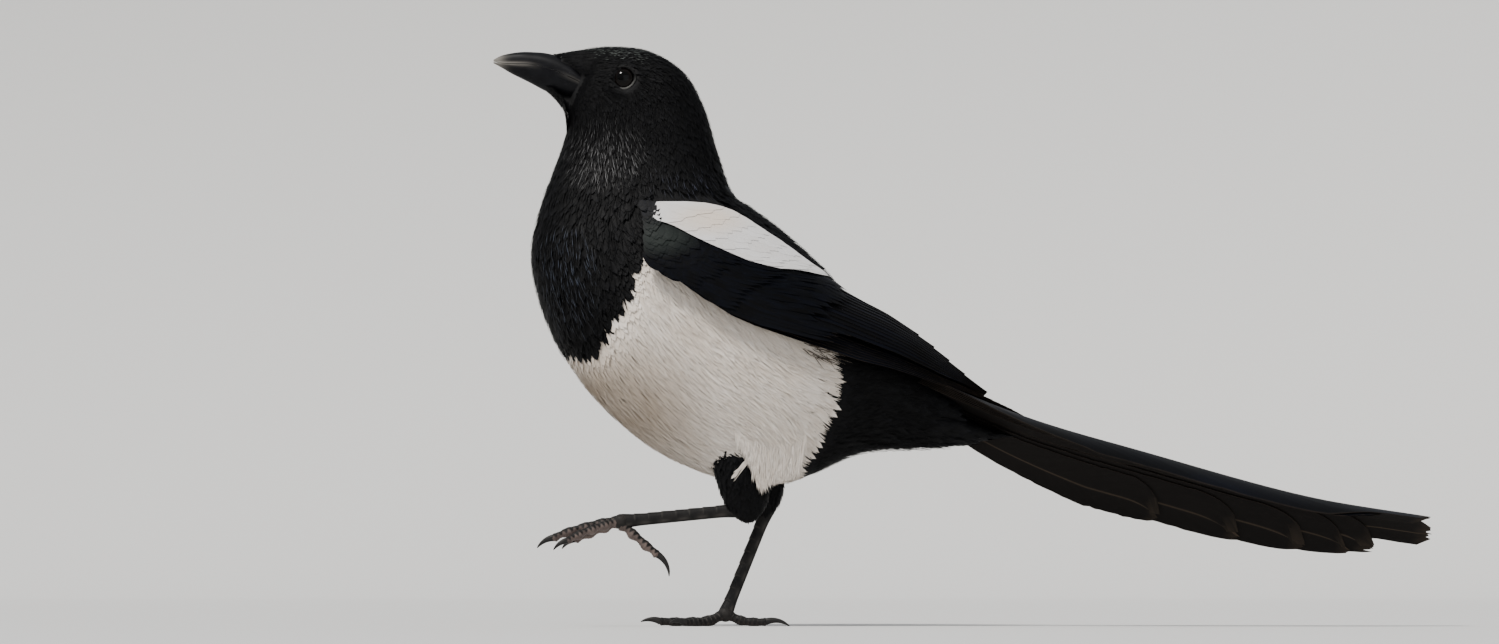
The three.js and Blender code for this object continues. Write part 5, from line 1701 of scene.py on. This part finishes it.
    def claw(self, side, digit, horn):
        """A claw: its pitch grows evenly along it, and its section shrinks to a point."""
        forward, across = self.heading(side, digit)
        toe = TOES[digit]
        t = np.linspace(0, 1, 36)
        pitch = np.radians(CLAW_PITCH[side][digit] - toe["bend"] * t)
        way = np.cos(pitch)[:, None] * forward + np.sin(pitch)[:, None] * np.array([0.0, 0.0, 1.0])
        run = np.concatenate([[np.zeros(3)], np.cumsum((way[1:] + way[:-1]) / 2, axis=0)]) * toe["claw"] / 35
        bones = len(TOE_PATHS[side][digit]) - 1
        centre = self.path(side, digit, np.array(bones - 0.1)) + run
        size = (1 - t) ** 0.75
        wide, deep = lerp(0.12, toe["radius"] * 0.6, size), lerp(0.12, toe["radius"] * 0.75, size)
        rows = np.column_stack([centre, wide, deep])
        a = around(18)
        number = np.arange(len(t), dtype=float)[:, None] + 0 * a
        groove = -0.12 * size[:, None] * np.exp(-(((np.sin(a) + 1) / 0.25) ** 2))
        grid = tube(rows, across)(number, a + 0 * number, groove)
        grid[..., 2] = np.maximum(grid[..., 2], 0.0)
        name = "claw_" + side + "_" + str(digit + 1)
        make_piece(name + "_horn", ring_batch(grid, pale=0.06), horn, "claw_horn", (name,), bake=False)


# Stage, in metres: the floor's flat radius, bend and wall, the lights, and where lights and camera aim.
FLOOR = {"flat": 5.0, "bend": 1.6, "wall": 0.2}
KEY_LIGHT = {"place": (-0.95, -1.05, 2.2), "colour": (1.0, 0.97, 0.93)}
FILL_LIGHT = {"place": (0.6, -2.2, 0.9), "colour": (0.93, 0.96, 1.0), "size": 1.8}
SKY_COLOUR = (0.94, 0.96, 1.0, 1.0)
LIGHT_AIM = Vector((-0.03, 0.0, 0.12))
CAMERA_AIM = Vector((-0.0909, 0.0, 0.1277))


class StageSettings(bpy.types.PropertyGroup):
    """Camera, light and floor."""

    distance: FloatProperty(name="Camera distance", description="From the camera to the bird", default=2.0,
                            min=0.5, max=6.0, subtype="DISTANCE", unit="LENGTH")
    height: FloatProperty(name="Camera height", description="Of the camera over the floor", default=0.016,
                          min=0.005, max=1.0, subtype="DISTANCE", unit="LENGTH")
    width: FloatProperty(name="View width", description="What the camera sees at the bird", default=0.6296,
                         min=0.1, max=3.0, subtype="DISTANCE", unit="LENGTH")
    key: FloatProperty(name="Key light", description="Strength of the main light", default=4.0, min=0.0)
    soft: FloatProperty(name="Key softness", description="Angle that the main light fills", default=0.2,
                        min=0.0, subtype="ANGLE", unit="ROTATION")
    fill: FloatProperty(name="Fill light", description="Power of the broad soft light", default=9.0, min=0.0,
                        subtype="POWER", unit="POWER")
    sky: FloatProperty(name="Ambient light", description="Strength of the light all round", default=0.55,
                       min=0.0)
    floor: colour_property("Floor", "Colour of the floor and the backdrop", (0.66, 0.66, 0.65))


class MAGPIE_OT_stage(bpy.types.Operator):
    """Pale seamless floor, soft lights and the camera"""

    bl_idname = "magpie.stage"
    bl_label = "Stage"

    def execute(self, context):
        """A round floor whose rim rises as a quarter circle, a distant key light, a fill and a long lens."""
        stage = context.scene.magpie_stage
        self.floor(stage)
        key = self.light("key", "SUN", KEY_LIGHT["place"], stage.key, KEY_LIGHT["colour"])
        key.angle = stage.soft
        fill = self.light("fill", "AREA", FILL_LIGHT["place"], stage.fill, FILL_LIGHT["colour"])
        fill.size = FILL_LIGHT["size"]
        world = bpy.data.worlds.new("studio")
        world.use_nodes = True
        background = world.node_tree.nodes["Background"]
        background.inputs["Color"].default_value = SKY_COLOUR
        background.inputs["Strength"].default_value = stage.sky
        context.scene.world = world
        data = bpy.data.cameras.new("camera")
        data.sensor_width = 36.0
        data.lens = data.sensor_width * stage.distance / stage.width
        camera = bpy.data.objects.new("camera", data)
        context.scene.collection.objects.link(camera)
        camera.location = (CAMERA_AIM.x, -stage.distance, stage.height)
        camera.rotation_euler = (CAMERA_AIM - camera.location).to_track_quat("-Z", "Y").to_euler()
        context.scene.camera = camera
        return {"FINISHED"}

    def floor(self, stage):
        """A surface of revolution: flat to the bend, then a quarter circle, then a wall."""
        flat, bend, wall = FLOOR["flat"], FLOOR["bend"], FLOOR["wall"]
        turn = np.linspace(0, np.pi / 2, 24)
        radius = np.concatenate([np.linspace(0.02, flat, 12), flat + bend * np.sin(turn[1:]), [flat + bend]])
        height = np.concatenate([np.zeros(12), bend * (1 - np.cos(turn[1:])), [bend + wall]])
        sides = 96
        angle = around(sides)
        radius, height = radius[:, None], height[:, None] + 0 * angle
        grid = np.stack([radius * np.cos(angle), radius * np.sin(angle), height], -1)
        quads, tris = loft_faces(len(radius), sides)
        mesh = bpy.data.meshes.new("stage_floor")
        points = np.concatenate([grid.reshape(-1, 3), [[0.0, 0.0, 0.0]]])
        faces = quads[:, ::-1].tolist() + tris[:sides, ::-1].tolist()
        mesh.from_pydata(points.tolist(), [], [[min(i, len(points) - 1) for i in face] for face in faces])
        mesh.shade_smooth()
        graph = Graph("stage_paper", Roughness=0.9, Specular_IOR_Level=0.1)
        grain = graph.noise(graph.place(), 900.0, 3.0)
        darker = tuple(0.97 * v for v in stage.floor)
        tint = graph.mix(graph.remap(grain, 0.3, 0.7), darker, tuple(stage.floor))
        graph.shade(Base_Color=tint)
        mesh.materials.append(graph.material)
        floor = bpy.data.objects.new("stage_floor", mesh)
        bpy.context.scene.collection.objects.link(floor)

    def light(self, name, kind, place, power, colour):
        """A light that faces the bird; gives back its data."""
        data = bpy.data.lights.new(name, kind)
        data.energy = power
        data.color = colour
        light = bpy.data.objects.new(name, data)
        light.location = place
        way = LIGHT_AIM - Vector(place)
        light.rotation_euler = way.to_track_quat("-Z", "Y").to_euler()
        bpy.context.scene.collection.objects.link(light)
        return data


class MAGPIE_PT_panel(bpy.types.Panel):
    """Sizes, colours and the pieces"""

    bl_idname = "MAGPIE_PT_panel"
    bl_label = "Magpie"
    bl_space_type = "VIEW_3D"
    bl_region_type = "UI"
    bl_category = "Magpie"

    def draw(self, context):
        """Lists every setting, then one button for each operator."""
        for group in (context.scene.magpie_sizes, context.scene.magpie_colours, context.scene.magpie_stage):
            box = self.layout.box()
            for key in group.__annotations__:
                box.prop(group, key)
        for operator in OPERATORS:
            self.layout.operator(operator.bl_idname)


GROUPS = {"magpie_sizes": MagpieSizes, "magpie_colours": MagpieColours, "magpie_stage": StageSettings}
OPERATORS = (
    MAGPIE_OT_skin,
    MAGPIE_OT_coat,
    MAGPIE_OT_filaments,
    MAGPIE_OT_bill,
    MAGPIE_OT_eyes,
    MAGPIE_OT_wings,
    MAGPIE_OT_tail,
    MAGPIE_OT_legs,
    MAGPIE_OT_stage,
)


def register():
    """Adds the settings, the operators and the panel."""
    for name, group in GROUPS.items():
        bpy.utils.register_class(group)
        setattr(bpy.types.Scene, name, PointerProperty(type=group))
    for item in (*OPERATORS, MAGPIE_PT_panel):
        bpy.utils.register_class(item)


def unregister():
    """Takes them away again."""
    for item in (MAGPIE_PT_panel, *reversed(OPERATORS)):
        bpy.utils.unregister_class(item)
    for name, group in reversed(GROUPS.items()):
        delattr(bpy.types.Scene, name)
        bpy.utils.unregister_class(group)


def main():
    """Makes every piece in order."""
    register()
    for operator in OPERATORS:
        group, action = operator.bl_idname.split(".")
        getattr(getattr(bpy.ops, group), action)()


if __name__ == "__main__":
    main()
